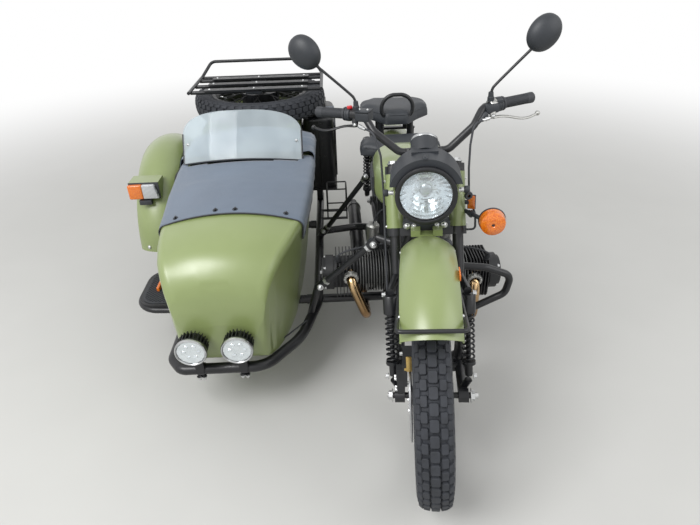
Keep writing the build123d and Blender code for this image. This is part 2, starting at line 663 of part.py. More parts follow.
TANK = [
    # y, half width, bottom, top, corner radius
    (452, 66, 800, 900, 40),
    (520, 118, 752, 922, 60),
    (640, 150, 730, 934, 70),
    (780, 146, 732, 926, 66),
    (890, 112, 748, 894, 52),
    (940, 84, 764, 862, 40),
]
tank = loft([tank_section(*row) for row in TANK], ruled=True)
tunnel = block((-32, 32), (430, 990), (690, 846)) + block((-32, 32), (430, 530), (690, 882))
fuel_tank = tank - tunnel
fuel_tank = fuel_tank + rod((0, 600, 925), (0, 600, 946), 70)
write("fuel_tank", fuel_tank)
pad_box = [block((a, b), (640, 800), (770, 850)) for a, b in ((-170, -100), (100, 170))]
pad_shell = loft([tank_section(y, half + 9, low - 4, high + 4, r + 4) for y, half, low, high, r in TANK],
                 ruled=True)
pad_inner = loft([tank_section(y, half + 0.3, low, high, r) for y, half, low, high, r in TANK], ruled=True)
knee_pads = [(pad_shell & box) - pad_inner for box in pad_box]
write("knee_pads", *knee_pads)


def saddle(y_front, y_back, half, low, high):
    """A tractor-style saddle: narrow in front, broad and round behind."""
    plan = make_face(Polyline(
        (-half * 0.32, y_front), (half * 0.32, y_front), (half * 0.62, y_front + 70), (half, y_back - 150),
        (half, y_back - 60), (half * 0.62, y_back), (-half * 0.62, y_back), (-half, y_back - 60),
        (-half, y_back - 150), (-half * 0.62, y_front + 70), close=True))
    solid = extrude(Pos(0, 0, low) * plan, amount=high - low)
    top = solid.faces().sort_by(Axis.Z)[-1]
    return fillet(top.edges(), 16)


driver_saddle = saddle(944, 1190, 184, 786, 838)
passenger_saddle = saddle(WHEELBASE - 300, WHEELBASE - 10, 169, 868, 928)
write("saddles", driver_saddle, passenger_saddle)
loop_side = [(72, 1214, 1005), (72, 1218, 915), (26, 1226, 888)]
loop_points = [(-x, y, z) for x, y, z in reversed(loop_side)] + loop_side
write("grab_loop", pipe(loop_points, 18, [40, 60, 60, 40]) - passenger_saddle)


# Rear of the motorcycle

rear_fender = fender(REAR_FENDER_HALF, REAR_FENDER_R, 62, 104, (0, WHEELBASE, TYRE_R))
rear_fender = rear_fender - [rod((s * RAIL_X, 900, RAIL_Z), (s * RAIL_X, 1600, RAIL_Z), RAIL_D + 0.6)
                             for s in (-1, 1)]
write("rear_fender", rear_fender)
PLATE_Y = WHEELBASE + REAR_FENDER_R + 10
PLATE_Z = TYRE_R + 184
TAIL_LAMP_Z = TYRE_R + 264
TAIL_LAMP_Y = WHEELBASE + (REAR_FENDER_R ** 2 - (TAIL_LAMP_Z - TYRE_R) ** 2) ** 0.5
rear_round = rod((-120, WHEELBASE, TYRE_R), (120, WHEELBASE, TYRE_R), 2 * (REAR_FENDER_R + SEAT_GAP))
plate = block((-90, 90), (PLATE_Y, PLATE_Y + 3), (PLATE_Z - 100, PLATE_Z + 20))
plate = plate - [rod((s * 60, PLATE_Y - 5, PLATE_Z), (s * 60, PLATE_Y + 8, PLATE_Z), 7) for s in (-1, 1)]
bracket = block((-30, 30), (PLATE_Y - 60, PLATE_Y), (PLATE_Z - 28, PLATE_Z - 24))
bracket = bracket + block((-30, 30), (PLATE_Y - 4, PLATE_Y), (PLATE_Z - 80, PLATE_Z + 15))
write("plate_bracket", plate + (bracket - rear_round))

SWING_X = 92
swing = []
for s in (-1, 1):
    x = s * SWING_X
    swing.append(pipe([(x, 1058.3, 330), (x, 1300, 338), (x, WHEELBASE, TYRE_R)], 32, 200))
rear_axle = rod((-120, WHEELBASE, TYRE_R), (128, WHEELBASE, TYRE_R), AXLE_D)
swing_cross = rod((-SWING_X, 1092, 324), (SWING_X, 1092, 324), 32)
axle_boss = [rod((s * SWING_X - 18, WHEELBASE, TYRE_R), (s * SWING_X + 18, WHEELBASE, TYRE_R), 48)
             for s in (-1, 1)]
final_drive = turned([(0, 40), (0, 76), (26, 76), (36, 60), (40, 0)], (-60, WHEELBASE, TYRE_R), (-1, 0, 0))
final_drive = final_drive - rod((-62, WHEELBASE, TYRE_R), (-58, WHEELBASE, TYRE_R), 72)
rear_swingarm = final_drive + swing[0] + swing[1] + rear_axle + swing_cross + axle_boss

SHOCK_X = 128
rear_shocks = []
for s in (-1, 1):
    top = (s * SHOCK_X, WHEELBASE - 108, RAIL_Z - 24)
    bottom = (s * SHOCK_X, WHEELBASE - 22, TYRE_R + 46)
    eye = rod(top, (s * SHOCK_X, WHEELBASE - 108, RAIL_Z), 22)
    rear_shocks.append(shock(bottom, top, 28, 46, 11, 9) + eye)
shock_pins = [rod((s * (RAIL_X + 14.3), WHEELBASE - 108, RAIL_Z - 8),
                  (s * (SHOCK_X + 12), WHEELBASE - 108, RAIL_Z - 8), 18) for s in (-1, 1)]

battery_box = block((-62, 62), (935, 1108), (540, 700)) - backbone.moved(Pos(0, 0, -3))
write("battery_box", battery_box)

bar_path = [(68, 440, 575), (250, 416, 566), (352, 424, 520), (338, 424, 440), (210, 424, 372),
            (86, 494, 330)]
crash_bar = pipe(bar_path, 28, [60, 40, 40, 60])
write("crash_bar", crash_bar - main_frame)

write("centre_stand", centre_stand)


# Sidecar hull

HULL = [
    # y, inner side top and bottom, outer side top and bottom, floor, side top, crown
    (270, -600, -615, -862, -855, 335, 440, 462),
    (275, -572, -590, -888, -876, 312, 505, 530),
    (283, -560, -578, -900, -886, 302, 560, 592),
    (300, -546, -564, -913, -894, 296, 608, 644),
    (335, -524, -543, -928, -904, 292, 650, 688),
    (380, -500, -525, -943, -915, HULL_FLOOR, 678, 718),
    (460, -462, -502, -957, -924, HULL_FLOOR, 703, 745),
    (560, -426, -483, -968, -930, HULL_FLOOR, 720, 763),
    (800, -405, -465, -985, -945, HULL_FLOOR, 745, 793),
    (1000, -394, -458, -990, -948, HULL_FLOOR, 765, 810),
    (1340, -394, -458, -990, -948, HULL_FLOOR, 770, 815),
    (1480, -472, -480, -985, -948, HULL_FLOOR, 778, 815),
    (1900, -478, -492, -972, -938, 310, 784, 812),
    (2050, -498, -515, -955, -924, 352, 752, 780),
    (2120, -520, -540, -930, -905, 390, 700, 730),
    (2180, -556, -572, -900, -880, 440, 640, 664),
    (2200, -585, -600, -875, -858, 480, 596, 616),
]
HULL_CORNER = 34
CORNER_RISE = 0.3


def hull_section(row, grow=0, rise=0, floor=None):
    """A cross-section of the hull: straight floor and sides under an arched crown."""
    y, in_top, in_bottom, out_top, out_bottom, z_floor, z_side, z_crown = row
    low = z_floor - grow if floor is None else floor
    bottom_in, top_in = Vector(in_bottom + grow, y, low), Vector(in_top + grow, y, z_side + rise)
    bottom_out, top_out = Vector(out_bottom - grow, y, low), Vector(out_top - grow, y, z_side + rise)
    crown = Vector((in_top + out_top) / 2, y, z_crown + grow + rise)
    ends = []
    for bottom, top in ((bottom_in, top_in), (bottom_out, top_out)):
        on_side = top + (bottom - top).normalized() * HULL_CORNER
        inward = 1 if crown.X > top.X else -1
        on_crown = top + Vector(inward * HULL_CORNER, 0, CORNER_RISE * HULL_CORNER)
        middle = top + ((on_side + on_crown) * 0.5 - top) * 0.4
        ends.append((bottom, on_side, middle, on_crown))
    inner, outer = ends
    return make_face([
        Line(outer[0], inner[0]),
        Line(inner[0], inner[1]),
        ThreePointArc(inner[1], inner[2], inner[3]),
        ThreePointArc(inner[3], crown, outer[3]),
        ThreePointArc(outer[3], outer[2], outer[1]),
        Line(outer[1], outer[0]),
    ])


def hull_loft(rows, **settings):
    """A ruled skin through hull sections."""
    return loft([hull_section(row, **settings) for row in rows], ruled=True)


def cut_row(y):
    """The hull's row at any Y, between its two neighbours in the table."""
    for before, after in zip(HULL, HULL[1:]):
        if before[0] <= y <= after[0]:
            share = (y - before[0]) / (after[0] - before[0])
            return tuple(a + (b - a) * share for a, b in zip(before, after))
    raise ValueError(y)


def rows_between(y_low, y_high):
    """The hull's rows from one Y to another, with a row cut at each end."""
    inside = [row for row in HULL if y_low < row[0] < y_high]
    return [cut_row(y_low)] + inside + [cut_row(y_high)]


hull_outer = hull_loft(HULL)
BULKHEAD_Y = 1330
cockpit_room = hull_loft(rows_between(290, BULKHEAD_Y), grow=-HULL_WALL)
trunk_room = hull_loft(rows_between(BULKHEAD_Y + HULL_WALL, 2110), grow=-HULL_WALL)
COCKPIT = ((-938, -448), (640, 1300))
TRUNK = ((-925, -510), (1392, 1960))
cockpit_cut = block(*COCKPIT, (680, 900))
coaming = block((TRUNK[0][0] - 16, TRUNK[0][1] + 16), (TRUNK[1][0] - 16, TRUNK[1][1] + 16),
                (770, COAMING_TOP))
trunk_cut = block(*TRUNK, (700, 900))
sidecar_hull = (hull_outer + coaming) - cockpit_room - trunk_room - cockpit_cut - trunk_cut
# The shell is made in two halves, which meet behind the bulkhead
shell_joint = BULKHEAD_Y + HULL_WALL
front_shell = sidecar_hull & block((-1100, -300), (200, shell_joint), (200, 900))
rear_shell = sidecar_hull & block((-1100, -300), (shell_joint, 2300), (200, 900))
write("sidecar_hull", front_shell, rear_shell)

seat_low = HULL_FLOOR + HULL_WALL + SEAT_GAP
seat_profile = make_face(Polyline(
    (0, 905, seat_low), (0, 1318, seat_low), (0, 1322, 740), (0, 1240, 750), (0, 1190, 480),
    (0, 920, 470), (0, 895, 450), close=True))
sidecar_seat = extrude(Pos(-500, 0, 0) * seat_profile, amount=400, dir=(-1, 0, 0))
write("sidecar_seat", sidecar_seat)

SCREEN_R = 470
SCREEN_X = -704
SCREEN_Y = 966
SCREEN_HALF = 262
SCREEN_THICK = 4
glass_low, glass_high = 812, 1004


def screen_arc(half, shift):
    """The screen's curve in plan, out to a half width, moved along Y."""
    ends_y = SCREEN_Y + shift + SCREEN_R - (SCREEN_R ** 2 - half ** 2) ** 0.5
    return (SCREEN_X - half, ends_y), (SCREEN_X, SCREEN_Y + shift), (SCREEN_X + half, ends_y)


def strip_face(front, back):
    """A flat face between two arcs in plan, each given by three points."""
    front, back = [[(x, y, 0) for x, y in points] for points in (front, back)]
    sides = [Line(front[2], back[2]), Line(back[0], front[0])]
    return make_face([ThreePointArc(*front), sides[0], ThreePointArc(*reversed(back)), sides[1]])


screen_plan = strip_face(screen_arc(SCREEN_HALF, 0), screen_arc(SCREEN_HALF, SCREEN_THICK))
screen = extrude(Pos(0, 0, glass_low) * screen_plan, amount=280, dir=(0, 0.5, 0.866))
screen_half = [(262, glass_low), (262, 930), (250, 966), (221, 990), (166, 1000), (0, glass_high)]
screen_edge = screen_half + [(-x, z) for x, z in reversed(screen_half[:-1])]
screen_outline = make_face(Polyline(*[(SCREEN_X - x, 0, z) for x, z in screen_edge], close=True))
windshield = screen & extrude(Pos(0, 1300, 0) * screen_outline, amount=500, dir=(0, -1, 0))
write("windshield", windshield)


def lean_behind(y_shift, reach):
    """The room in front of the leaning screen (reach < 0) or behind it, at a shift along Y."""
    far = 1000 + reach
    low, middle, high = screen_arc(316, y_shift)
    plan = make_face([
        ThreePointArc((*low, 0), (*middle, 0), (*high, 0)), Line((*high, 0), (high[0], far, 0)),
        Line((high[0], far, 0), (low[0], far, 0)), Line((low[0], far, 0), (*low, 0)),
    ])
    return extrude(Pos(0, -0.5 / 0.866 * 232, glass_low - 232) * plan, amount=600, dir=(0, 0.5, 0.866))


hull_skin = hull_loft(rows_between(400, 1400), grow=SEAT_GAP)
apron = hull_loft(rows_between(548, 1040), grow=5) - hull_skin
apron = (apron & block((-1010, -370), (500, 1060), (640, 840))) - lean_behind(-1, 600)
write("apron", apron)
tonneau_room = hull_loft(rows_between(890, 1345), grow=SEAT_GAP, rise=22)
tonneau = hull_loft(rows_between(900, 1338), grow=5, rise=26) - tonneau_room
tonneau = tonneau & block((-1010, -370), (890, 1400), (660, 900))
tonneau = tonneau - hull_skin - lean_behind(SCREEN_THICK + 1, -800)
write("tonneau", tonneau)


# Sidecar chassis

bumper_y = 270
LINK_RAIL_Z = SIDECAR_RAIL_Z + 20
loop = pipe(
    [(OUTER_RAIL_X, 1560, SIDECAR_RAIL_Z), (OUTER_RAIL_X, 330, SIDECAR_RAIL_Z),
     (-905, bumper_y, SIDECAR_RAIL_Z), (-590, bumper_y, SIDECAR_RAIL_Z),
     (-460, 430, SIDECAR_RAIL_Z), (SIDECAR_RAIL_X, 640, LINK_RAIL_Z), (SIDECAR_RAIL_X, 1760, LINK_RAIL_Z)],
    SIDECAR_TUBE_D, [40, 40, 110, 300, 200])
front_cross = rod((OUTER_RAIL_X, 690, SIDECAR_RAIL_Z), (-CRADLE_X - 24, 690, SIDECAR_RAIL_Z), 38)
rear_cross = rod((OUTER_RAIL_X, 1400, SIDECAR_RAIL_Z), (SIDECAR_RAIL_X, 1400, SIDECAR_RAIL_Z), 38)
rear_link = pipe([(SIDECAR_RAIL_X, 1250, 296), (-200, 1250, 318), (-140, 1220, 330), (-140, 1058.3, 330)],
                 36, [80, 30])
OUTER_JOINT_Y, INNER_JOINT_Y = 420, 700
outer_rail = loop & block((-1000, -900), (OUTER_JOINT_Y, 1600), (200, 330))
inner_rail = loop & block((-430, -340), (INNER_JOINT_Y, 1800), (200, 330))
write("sidecar_bumper", loop - outer_rail - inner_rail)

# Sidecar wheel's carrier, fender and lamp
SIDE_SWING_X = -1046
carrier_hoop = pipe(
    [(OUTER_RAIL_X, 1010, SIDECAR_RAIL_Z), (-1037.7, 1020, 300), (-1037.7, 1090, 690), (-1037.7, 1700, 690),
     (-1037.7, 1760, 300), (-1037.7, 1770, SIDECAR_RAIL_Z)], 24, [30, 60, 60, 30])
swing_pivot = rod((-1060, 1060, 300), (OUTER_RAIL_X, 1060, 264), 34)
side_arm = pipe([(SIDE_SWING_X, 1077.6, 302), (SIDE_SWING_X, 1260, 330),
                 (SIDE_SWING_X, SIDECAR_WHEEL_Y, TYRE_R)], 30, 150)
side_axle = rod((SIDE_SWING_X + 20, SIDECAR_WHEEL_Y, TYRE_R),
                (SIDECAR_WHEEL_X - 66, SIDECAR_WHEEL_Y, TYRE_R), AXLE_D)
sidecar_swingarm = side_arm + side_axle
side_shock = shock((-1040, 1330, 356), (-1036, 1290, 675.3), 22, 34, 8, 7)
write("rear_shocks", *[a + b for a, b in zip(rear_shocks, shock_pins)], side_shock)
write("swingarms", rear_swingarm, sidecar_swingarm)

sidecar_fender = fender(SIDE_FENDER_HALF, SIDE_FENDER_R, 86, 86,
                        (SIDECAR_WHEEL_X - 5, SIDECAR_WHEEL_Y, TYRE_R))
write("sidecar_fender", sidecar_fender)
lamp_box = block((-1238, -1104), (1034, 1120), (624, 702))
fender_round = rod((-1300, SIDECAR_WHEEL_Y, TYRE_R), (-1000, SIDECAR_WHEEL_Y, TYRE_R),
                   2 * (SIDE_FENDER_R + SEAT_GAP))
lamp_box = lamp_box - fender_round

STEP_OUT = -1180
STEP_FRONT, STEP_BACK = 640, 925
STEP_RIM_D = 28
step_path = [(OUTER_RAIL_X, STEP_FRONT, 268), (STEP_OUT, STEP_FRONT, 278), (STEP_OUT, STEP_BACK, 278),
             (OUTER_RAIL_X, STEP_BACK, 268)]
step_rim = pipe(step_path, STEP_RIM_D, [90, 70])
step_deck = block((STEP_OUT, OUTER_RAIL_X - 22), (STEP_FRONT, STEP_BACK), (286, 300))
step_deck = fillet(step_deck.edges().filter_by(Axis.Z).sort_by(Axis.X)[:2], 80)
sidecar_step = step_deck - pipe(step_path, STEP_RIM_D + 2 * SEAT_GAP, [90, 70])
write("sidecar_step", max(sidecar_step.solids(), key=lambda solid: solid.volume))

SPOT_Y = 196
SPOT_Z = 405
SPOT_FINS = 24
bumper_room = rod((-990, bumper_y, SIDECAR_RAIL_Z), (-560, bumper_y, SIDECAR_RAIL_Z), SIDECAR_TUBE_D + 0.6)
spots = []
for x in (-830, -668):
    bezel = turned([(0, SPOT_R), (14, SPOT_R), (14, 40), (70, 34), (70, 0), (8, 0), (5, SPOT_R - 6),
                    (0, SPOT_R - 5)], (x, SPOT_Y, SPOT_Z), (0, 1, 0))
    fins = [Pos(x, SPOT_Y, SPOT_Z) * Rot(0, 360 / SPOT_FINS * i, 0) * Pos(0, 36, 45) * Box(3, 44, 18)
            for i in range(SPOT_FINS)]
    foot = block((x - 16, x + 16), (248, 262), (SIDECAR_RAIL_Z, SPOT_Z - 30)) - bumper_room
    spots.append(bezel + fins + foot)
write("spot_lamps", *spots)

write("sidecar_struts", *struts)

CAN = ((-462, -297), (1600, 1945), (392, 800))
can = fillet(block(*CAN).edges().filter_by(Axis.Z), 40)
can = fillet(can.faces().sort_by(Axis.Z)[-1].edges(), 24)
can = can + block((-400, -358), (1660, 1900), (798, 821))
write("jerry_can", can)
shelf = block((-466, -292), (1594, 1950), (380, 391.7)) + block((-412, -378), (1640, 1750), (280, 384))
guard = []
for x in (-350, -245):
    guard.append(pipe([(x, 1400, 300), (x, 1400, 470), (x, 1500, 470), (x, 1500, 300)], 8, 20))
guard = guard + [rod((-350, y, z), (-245, y, z), 8)
                 for y, z in ((1400, 340), (1400, 468), (1500, 340), (1500, 468))]
guard = guard + [rod((SIDECAR_RAIL_X, y, 296), (-241, y, 296), 14) for y in (1400, 1500)]
strut_lug = [rod((-430, 560, SIDECAR_RAIL_Z + 4), (-388, 528, 436), 28),
             rod((SIDECAR_RAIL_X, 1200, SIDECAR_RAIL_Z + 26), (-372, 1178, 336), 30)]
strut_lug = strut_lug[0] + strut_lug[1] - strut_room
step_rests = [block((-1150, OUTER_RAIL_X), (y - 12, y + 12), (SIDECAR_RAIL_Z, 286 - SEAT_GAP))
              for y in (700, 900)]
hull_pads = [block((x - 24, x + 24), (y - 16, y + 16), (SIDECAR_RAIL_Z, HULL_FLOOR - SEAT_GAP))
             for x in (-880, -520) for y in (690, 1400)]
chassis_rails = outer_rail + inner_rail
cross_tubes = [(front_cross + hull_pads[::2]) - loop, (rear_cross + hull_pads[1::2]) - chassis_rails]
step_carrier = (step_rim + step_rests) - outer_rail
link = rear_link - inner_rail
lugs = strut_lug - loop - rear_link
write("sidecar_frame", outer_rail, inner_rail, *cross_tubes, step_carrier, link, *lugs.solids())
sidecar_frame = loop + front_cross + rear_cross
HOOP_TOP = (1165, 1625)
hoop_top = carrier_hoop & block((-1100, -1000), HOOP_TOP, (600, 800))
hoop_legs = (carrier_hoop - hoop_top - sidecar_frame).solids()
write("wheel_carrier", hoop_top, *hoop_legs, swing_pivot - sidecar_frame)
write("can_carrier", (shelf + guard) - sidecar_frame)

# Marker lamps: on the sidecar's fender, on the rear fender and at the sidecar's tail
tail_lamp = rod((0, TAIL_LAMP_Y - 30, TAIL_LAMP_Z), (0, TAIL_LAMP_Y + 50, TAIL_LAMP_Z), 84) - rear_round
write("marker_lamps", lamp_box, tail_lamp)

# Trunk lid, spare wheel and luggage rack

lid_low = COAMING_TOP + SEAT_GAP
lid = block((-944, -490), (LID_HINGE_Y, 1978), (lid_low, lid_low + LID_THICK))
hub_low = SPARE_Z - DRUM_HALF - 10
lid = lid + rod((SPARE_X, SPARE_Y, lid_low), (SPARE_X, SPARE_Y, hub_low - SEAT_GAP), 90)
write("trunk_lid", lid)
post = rod((SPARE_X, SPARE_Y, hub_low - SEAT_GAP), (SPARE_X, SPARE_Y, RACK_Z - 14), AXLE_D)
hoop = pipe([(-350, 1440, RACK_Z), (-350, 1800, RACK_Z), (-400, 1850, RACK_Z + 66), (-950, 1850, RACK_Z + 66),
             (-1000, 1800, RACK_Z), (-1000, 1440, RACK_Z)], 16, [30, 40, 40, 30])
rails = [rod((-1000, y, RACK_Z - 8), (-350, y, RACK_Z - 8), 18) for y in (1480, 1600, 1720, 1790)]
slats = [block((-930, -420), (y - 22, y + 22), (RACK_Z, RACK_Z + 5)) for y in (1480, 1600, 1720)]
spine = block((SPARE_X - 40, SPARE_X + 40), (1460, 1800), (RACK_Z - 20, RACK_Z - 6))
rack = hoop + rails + spine + post + slats
write("luggage_rack", rack)
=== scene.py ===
# %% [markdown]
# # A motorcycle with a sidecar
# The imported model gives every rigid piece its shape, its place and the body it moves with. This
# lesson gives those pieces their finishes, and adds what is too fine or too soft for the solids:
# tread blocks, lamp reflectors, upholstery, covers, seams, bolts and trim. All lengths are in
# metres, with +X to the rider's left, +Y to the rear and +Z up.

import json
from math import atan2, cos, degrees, pi, radians, sin, sqrt

import bmesh
import bpy
from mathutils import Matrix, Vector, noise
from mathutils.bvhtree import BVHTree


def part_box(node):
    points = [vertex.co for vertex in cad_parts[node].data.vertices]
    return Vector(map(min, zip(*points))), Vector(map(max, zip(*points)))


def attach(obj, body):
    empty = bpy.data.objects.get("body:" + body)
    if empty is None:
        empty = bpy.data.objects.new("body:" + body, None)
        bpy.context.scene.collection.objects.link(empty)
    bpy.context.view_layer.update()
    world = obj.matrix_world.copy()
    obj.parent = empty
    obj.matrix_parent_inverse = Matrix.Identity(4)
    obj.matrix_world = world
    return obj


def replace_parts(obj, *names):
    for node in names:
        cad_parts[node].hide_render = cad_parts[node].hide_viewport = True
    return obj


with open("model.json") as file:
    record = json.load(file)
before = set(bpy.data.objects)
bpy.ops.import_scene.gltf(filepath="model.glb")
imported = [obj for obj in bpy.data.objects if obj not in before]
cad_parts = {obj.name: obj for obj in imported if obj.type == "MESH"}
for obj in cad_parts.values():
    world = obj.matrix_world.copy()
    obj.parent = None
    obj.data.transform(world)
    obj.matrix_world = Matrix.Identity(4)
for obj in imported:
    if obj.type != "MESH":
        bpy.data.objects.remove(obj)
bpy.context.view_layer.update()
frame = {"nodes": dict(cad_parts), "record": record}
nodes = frame["nodes"]

# %% [markdown]
# ## Camera first
# The camera is fitted to the photograph: its place, its tilt and its focal length come from where
# the tyres and the lamps stand in the picture. It is made first, because every later piece is
# judged through it.

# %% Places of the motorcycle
MM = 0.001
BIKE_X = 415
FRONT_AXLE_Y = -922
RAKE = radians(27)
TRAIL = 80
STEER_AT_REST = radians(-8.3)
TYRE_R = 346
WHEELBASE = 1500
SIDECAR_WHEEL = (-1140, 1405, TYRE_R)
SPARE_WHEEL = (-685, 1702, 884.6)
SPOT_LAMPS = {"outer": -830, "inner": -668}
SIDES = ((-1, "right"), (1, "left"))
SIDE_NAMES = dict(SIDES)


def place(x, y, z):
    """A point of the motorcycle's frame in millimetres, as a point of the row frame in metres."""
    return Vector((x + BIKE_X, y + FRONT_AXLE_Y, z)) * MM


# %% Camera
camera_data = bpy.data.cameras.new("photo_camera")
camera_data.sensor_width = 36
camera_data.lens = 27.55
camera = bpy.data.objects.new("photo_camera", camera_data)
bpy.context.scene.collection.objects.link(camera)
right = Vector((0.9989, -0.0372, -0.0279))
back = right.cross(Vector((0.0433, 0.5264, 0.8491))).normalized()
turn = Matrix((right, back.cross(right), back)).transposed().to_4x4()
camera.matrix_world = Matrix.Translation(place(-290, -1252, 1649)) @ turn
bpy.context.scene.camera = camera
bpy.context.scene.view_settings.view_transform = "Standard"
print("camera at", [round(v, 3) for v in camera.matrix_world.translation])

# %% [markdown]
# ## Seats for pieces
# The solids are drawn in the motorcycle's own frame, below the front axle, and the fork is drawn
# straight ahead and then turned about the steering axis. A piece of this lesson is drawn about
# its own X axis in millimetres, so one function gives the matrix that sets it at a point and
# along a way, and turns it with the fork where it rides there.

# %% Seats
steering_way = Vector((0, sin(RAKE), cos(RAKE)))
steering_foot = place(0, -TRAIL, 0)
STEER = (
    Matrix.Translation(steering_foot)
    @ Matrix.Rotation(STEER_AT_REST, 4, steering_way)
    @ Matrix.Translation(-steering_foot)
)


def seat(at, way=(1, 0, 0), on_fork=False, spin=0.0):
    """Sets a piece that is drawn about the X axis, in millimetres, at a point and along a way."""
    turned = Vector((1, 0, 0)).rotation_difference(Vector(way)).to_matrix().to_4x4()
    own = Matrix.Rotation(radians(spin), 4, "X")
    whole = Matrix.Translation(place(*at)) @ turned @ own @ Matrix.Scale(MM, 4)
    return STEER @ whole if on_fork else whole


print("front axle at", [round(v, 4) for v in STEER @ place(0, 0, TYRE_R)])

# %% [markdown]
# ## Shapes from outlines
# Most small parts of a vehicle are turned on a lathe, bent from round bar or cut from plate. So one
# helper turns an outline about an axis, one draws a tube along a curve, and one makes a plate with
# bevelled edges. Another closes a finished mesh and hands it its material and its body. Bevels
# matter more than anything else here, because an edge without one never catches the light.

# %% Shape helpers


def lathe(shape, outline, steps, matrix, wave=None):
    """Turns an outline of (distance along X, radius) in millimetres. wave changes a radius by its angle."""
    rings = []
    for i in range(steps):
        angle = 2 * pi * i / steps
        ring = []
        for along, radius in outline:
            far = radius * (wave(angle, along) if wave else 1)
            ring.append(shape.verts.new(matrix @ Vector((along, far * cos(angle), far * sin(angle)))))
        rings.append(ring)
    for i in range(steps):
        one, two = rings[i], rings[(i + 1) % steps]
        for j in range(len(outline) - 1):
            shape.faces.new((one[j], one[j + 1], two[j + 1], two[j]))


def round_edges(shape, made, matrix, bevel, segments):
    """Rounds all edges of a block that was just made, in the order it has them, and sets it in its place."""
    edges = list(dict.fromkeys(edge for vert in made for edge in vert.link_edges))
    rounded = bmesh.ops.bevel(shape, geom=edges, offset=bevel, segments=segments, affect="EDGES", profile=0.5)
    whole = {vert for face in rounded["faces"] for vert in face.verts} | {v for v in made if v.is_valid}
    bmesh.ops.transform(shape, matrix=matrix, verts=list(whole))


def plate(shape, size, matrix, bevel=1.0, segments=2):
    """A plate or block of that size in millimetres about its middle, with rounded edges."""
    made = bmesh.ops.create_cube(shape, size=1.0)["verts"]
    bmesh.ops.scale(shape, vec=Vector(size), verts=made)
    round_edges(shape, made, matrix, bevel, segments)


def finish_piece(name, shape, finish, body, crease=35):
    """Closes a mesh, gives it its material and hands it to a body."""
    bmesh.ops.remove_doubles(shape, verts=shape.verts, dist=1e-6)
    bmesh.ops.recalc_face_normals(shape, faces=shape.faces)
    data = bpy.data.meshes.new(name)
    shape.to_mesh(data)
    shape.free()
    data.materials.append(finish)
    data.polygons.foreach_set("use_smooth", [True] * len(data.polygons))
    data.set_sharp_from_angle(angle=radians(crease))
    made = bpy.data.objects.new(name, data)
    bpy.context.scene.collection.objects.link(made)
    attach(made, body)
    print(name, "has", len(data.polygons), "faces")
    return made


def circle(count, radius, first=0):
    """Places evenly round a circle, as pairs of offsets, from a first angle in degrees."""
    angles = [radians(first) + 2 * pi * k / count for k in range(count)]
    return [(radius * cos(angle), radius * sin(angle)) for angle in angles]


def skin_of(piece):
    """What a ray can meet of a piece's mesh."""
    data = piece.data
    return BVHTree.FromPolygons([v.co for v in data.vertices], [tuple(p.vertices) for p in data.polygons])


def tube(
    name, points, diameter, finish, body, order=3, on_fork=False, closed=False, detail=(3, 6),
):
    """A round cord, seam or wire along a smooth curve. detail is how finely it runs round and along."""
    curve = bpy.data.curves.new(name, "CURVE")
    curve.dimensions = "3D"
    curve.bevel_depth = diameter / 2 * MM
    curve.bevel_resolution, curve.resolution_u = detail
    line = curve.splines.new("NURBS")
    line.points.add(len(points) - 1)
    for point, where in zip(line.points, points):
        spot = Vector(where) if isinstance(where, Vector) else place(*where)
        point.co = (*(STEER @ spot if on_fork else spot), 1)
    line.order_u = order
    line.use_endpoint_u = not closed
    line.use_cyclic_u = closed
    curve.use_fill_caps = True
    curve.materials.append(finish)
    made = bpy.data.objects.new(name, curve)
    bpy.context.scene.collection.objects.link(made)
    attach(made, body)
    print(name, "runs along", len(points), "points")
    return made


# %% [markdown]
# ## Colours and nodes
# Paint makers and photographs give colours as sRGB, while the shaders reckon in linear light, so
# one function turns a hex colour to linear. A second one adds a shader node with its settings and
# links, and a third starts a material, so each one is a few lines that read like a recipe.

# %% Colours and nodes


def linear(hex_colour):
    """An sRGB hex colour as linear RGBA."""
    parts = [int(hex_colour[i:i + 2], 16) / 255 for i in (1, 3, 5)]
    return tuple(c / 12.92 if c <= 0.04045 else ((c + 0.055) / 1.055) ** 2.4 for c in parts) + (1.0,)


def plain(value):
    """A socket's value, where a text is a hex colour."""
    return linear(value) if isinstance(value, str) else value


def add(tree, kind, settings=None, to=None, out=0, **inputs):
    """Adds a node. An input is a value, a hex colour or a socket to link from; _0 is a socket by number."""
    made = tree.nodes.new("ShaderNode" + kind)
    for name, value in (settings or {}).items():
        setattr(made, name, value)
    for name, value in inputs.items():
        socket = made.inputs[int(name[1:])] if name[0] == "_" else made.inputs[name.replace("_", " ")]
        if isinstance(value, bpy.types.NodeSocket):
            tree.links.new(value, socket)
        else:
            socket.default_value = plain(value)
    if to is not None:
        tree.links.new(made.outputs[out], to)
    return made.outputs[out]


def material(name, **sockets):
    """A new material with its Principled shader's own sockets set, and the place it is drawn at."""
    made = bpy.data.materials.new(name)
    made.use_nodes = True
    tree = made.node_tree
    shader = tree.nodes["Principled BSDF"]
    for socket, value in sockets.items():
        shader.inputs[socket.replace("_", " ")].default_value = plain(value)
    print("made", name)
    return made, tree, shader.inputs, add(tree, "TexCoord", out=3)


COLOURS = {"data_type": "RGBA"}
NOISE_SPAN = {"From_Min": 0.3, "From_Max": 0.7}  # where most of a noise texture's values lie

# %% [markdown]
# ## Olive paint
# Hull, tank and fenders wear a satin polyester powder coat in olive green. Powder flows out with a
# faint orange peel of about 3 mm, and the green greys a little where road dust settles, in soft
# patches of a hand's breadth. A dielectric base with middling roughness gives the wide, soft
# highlight of satin paint.

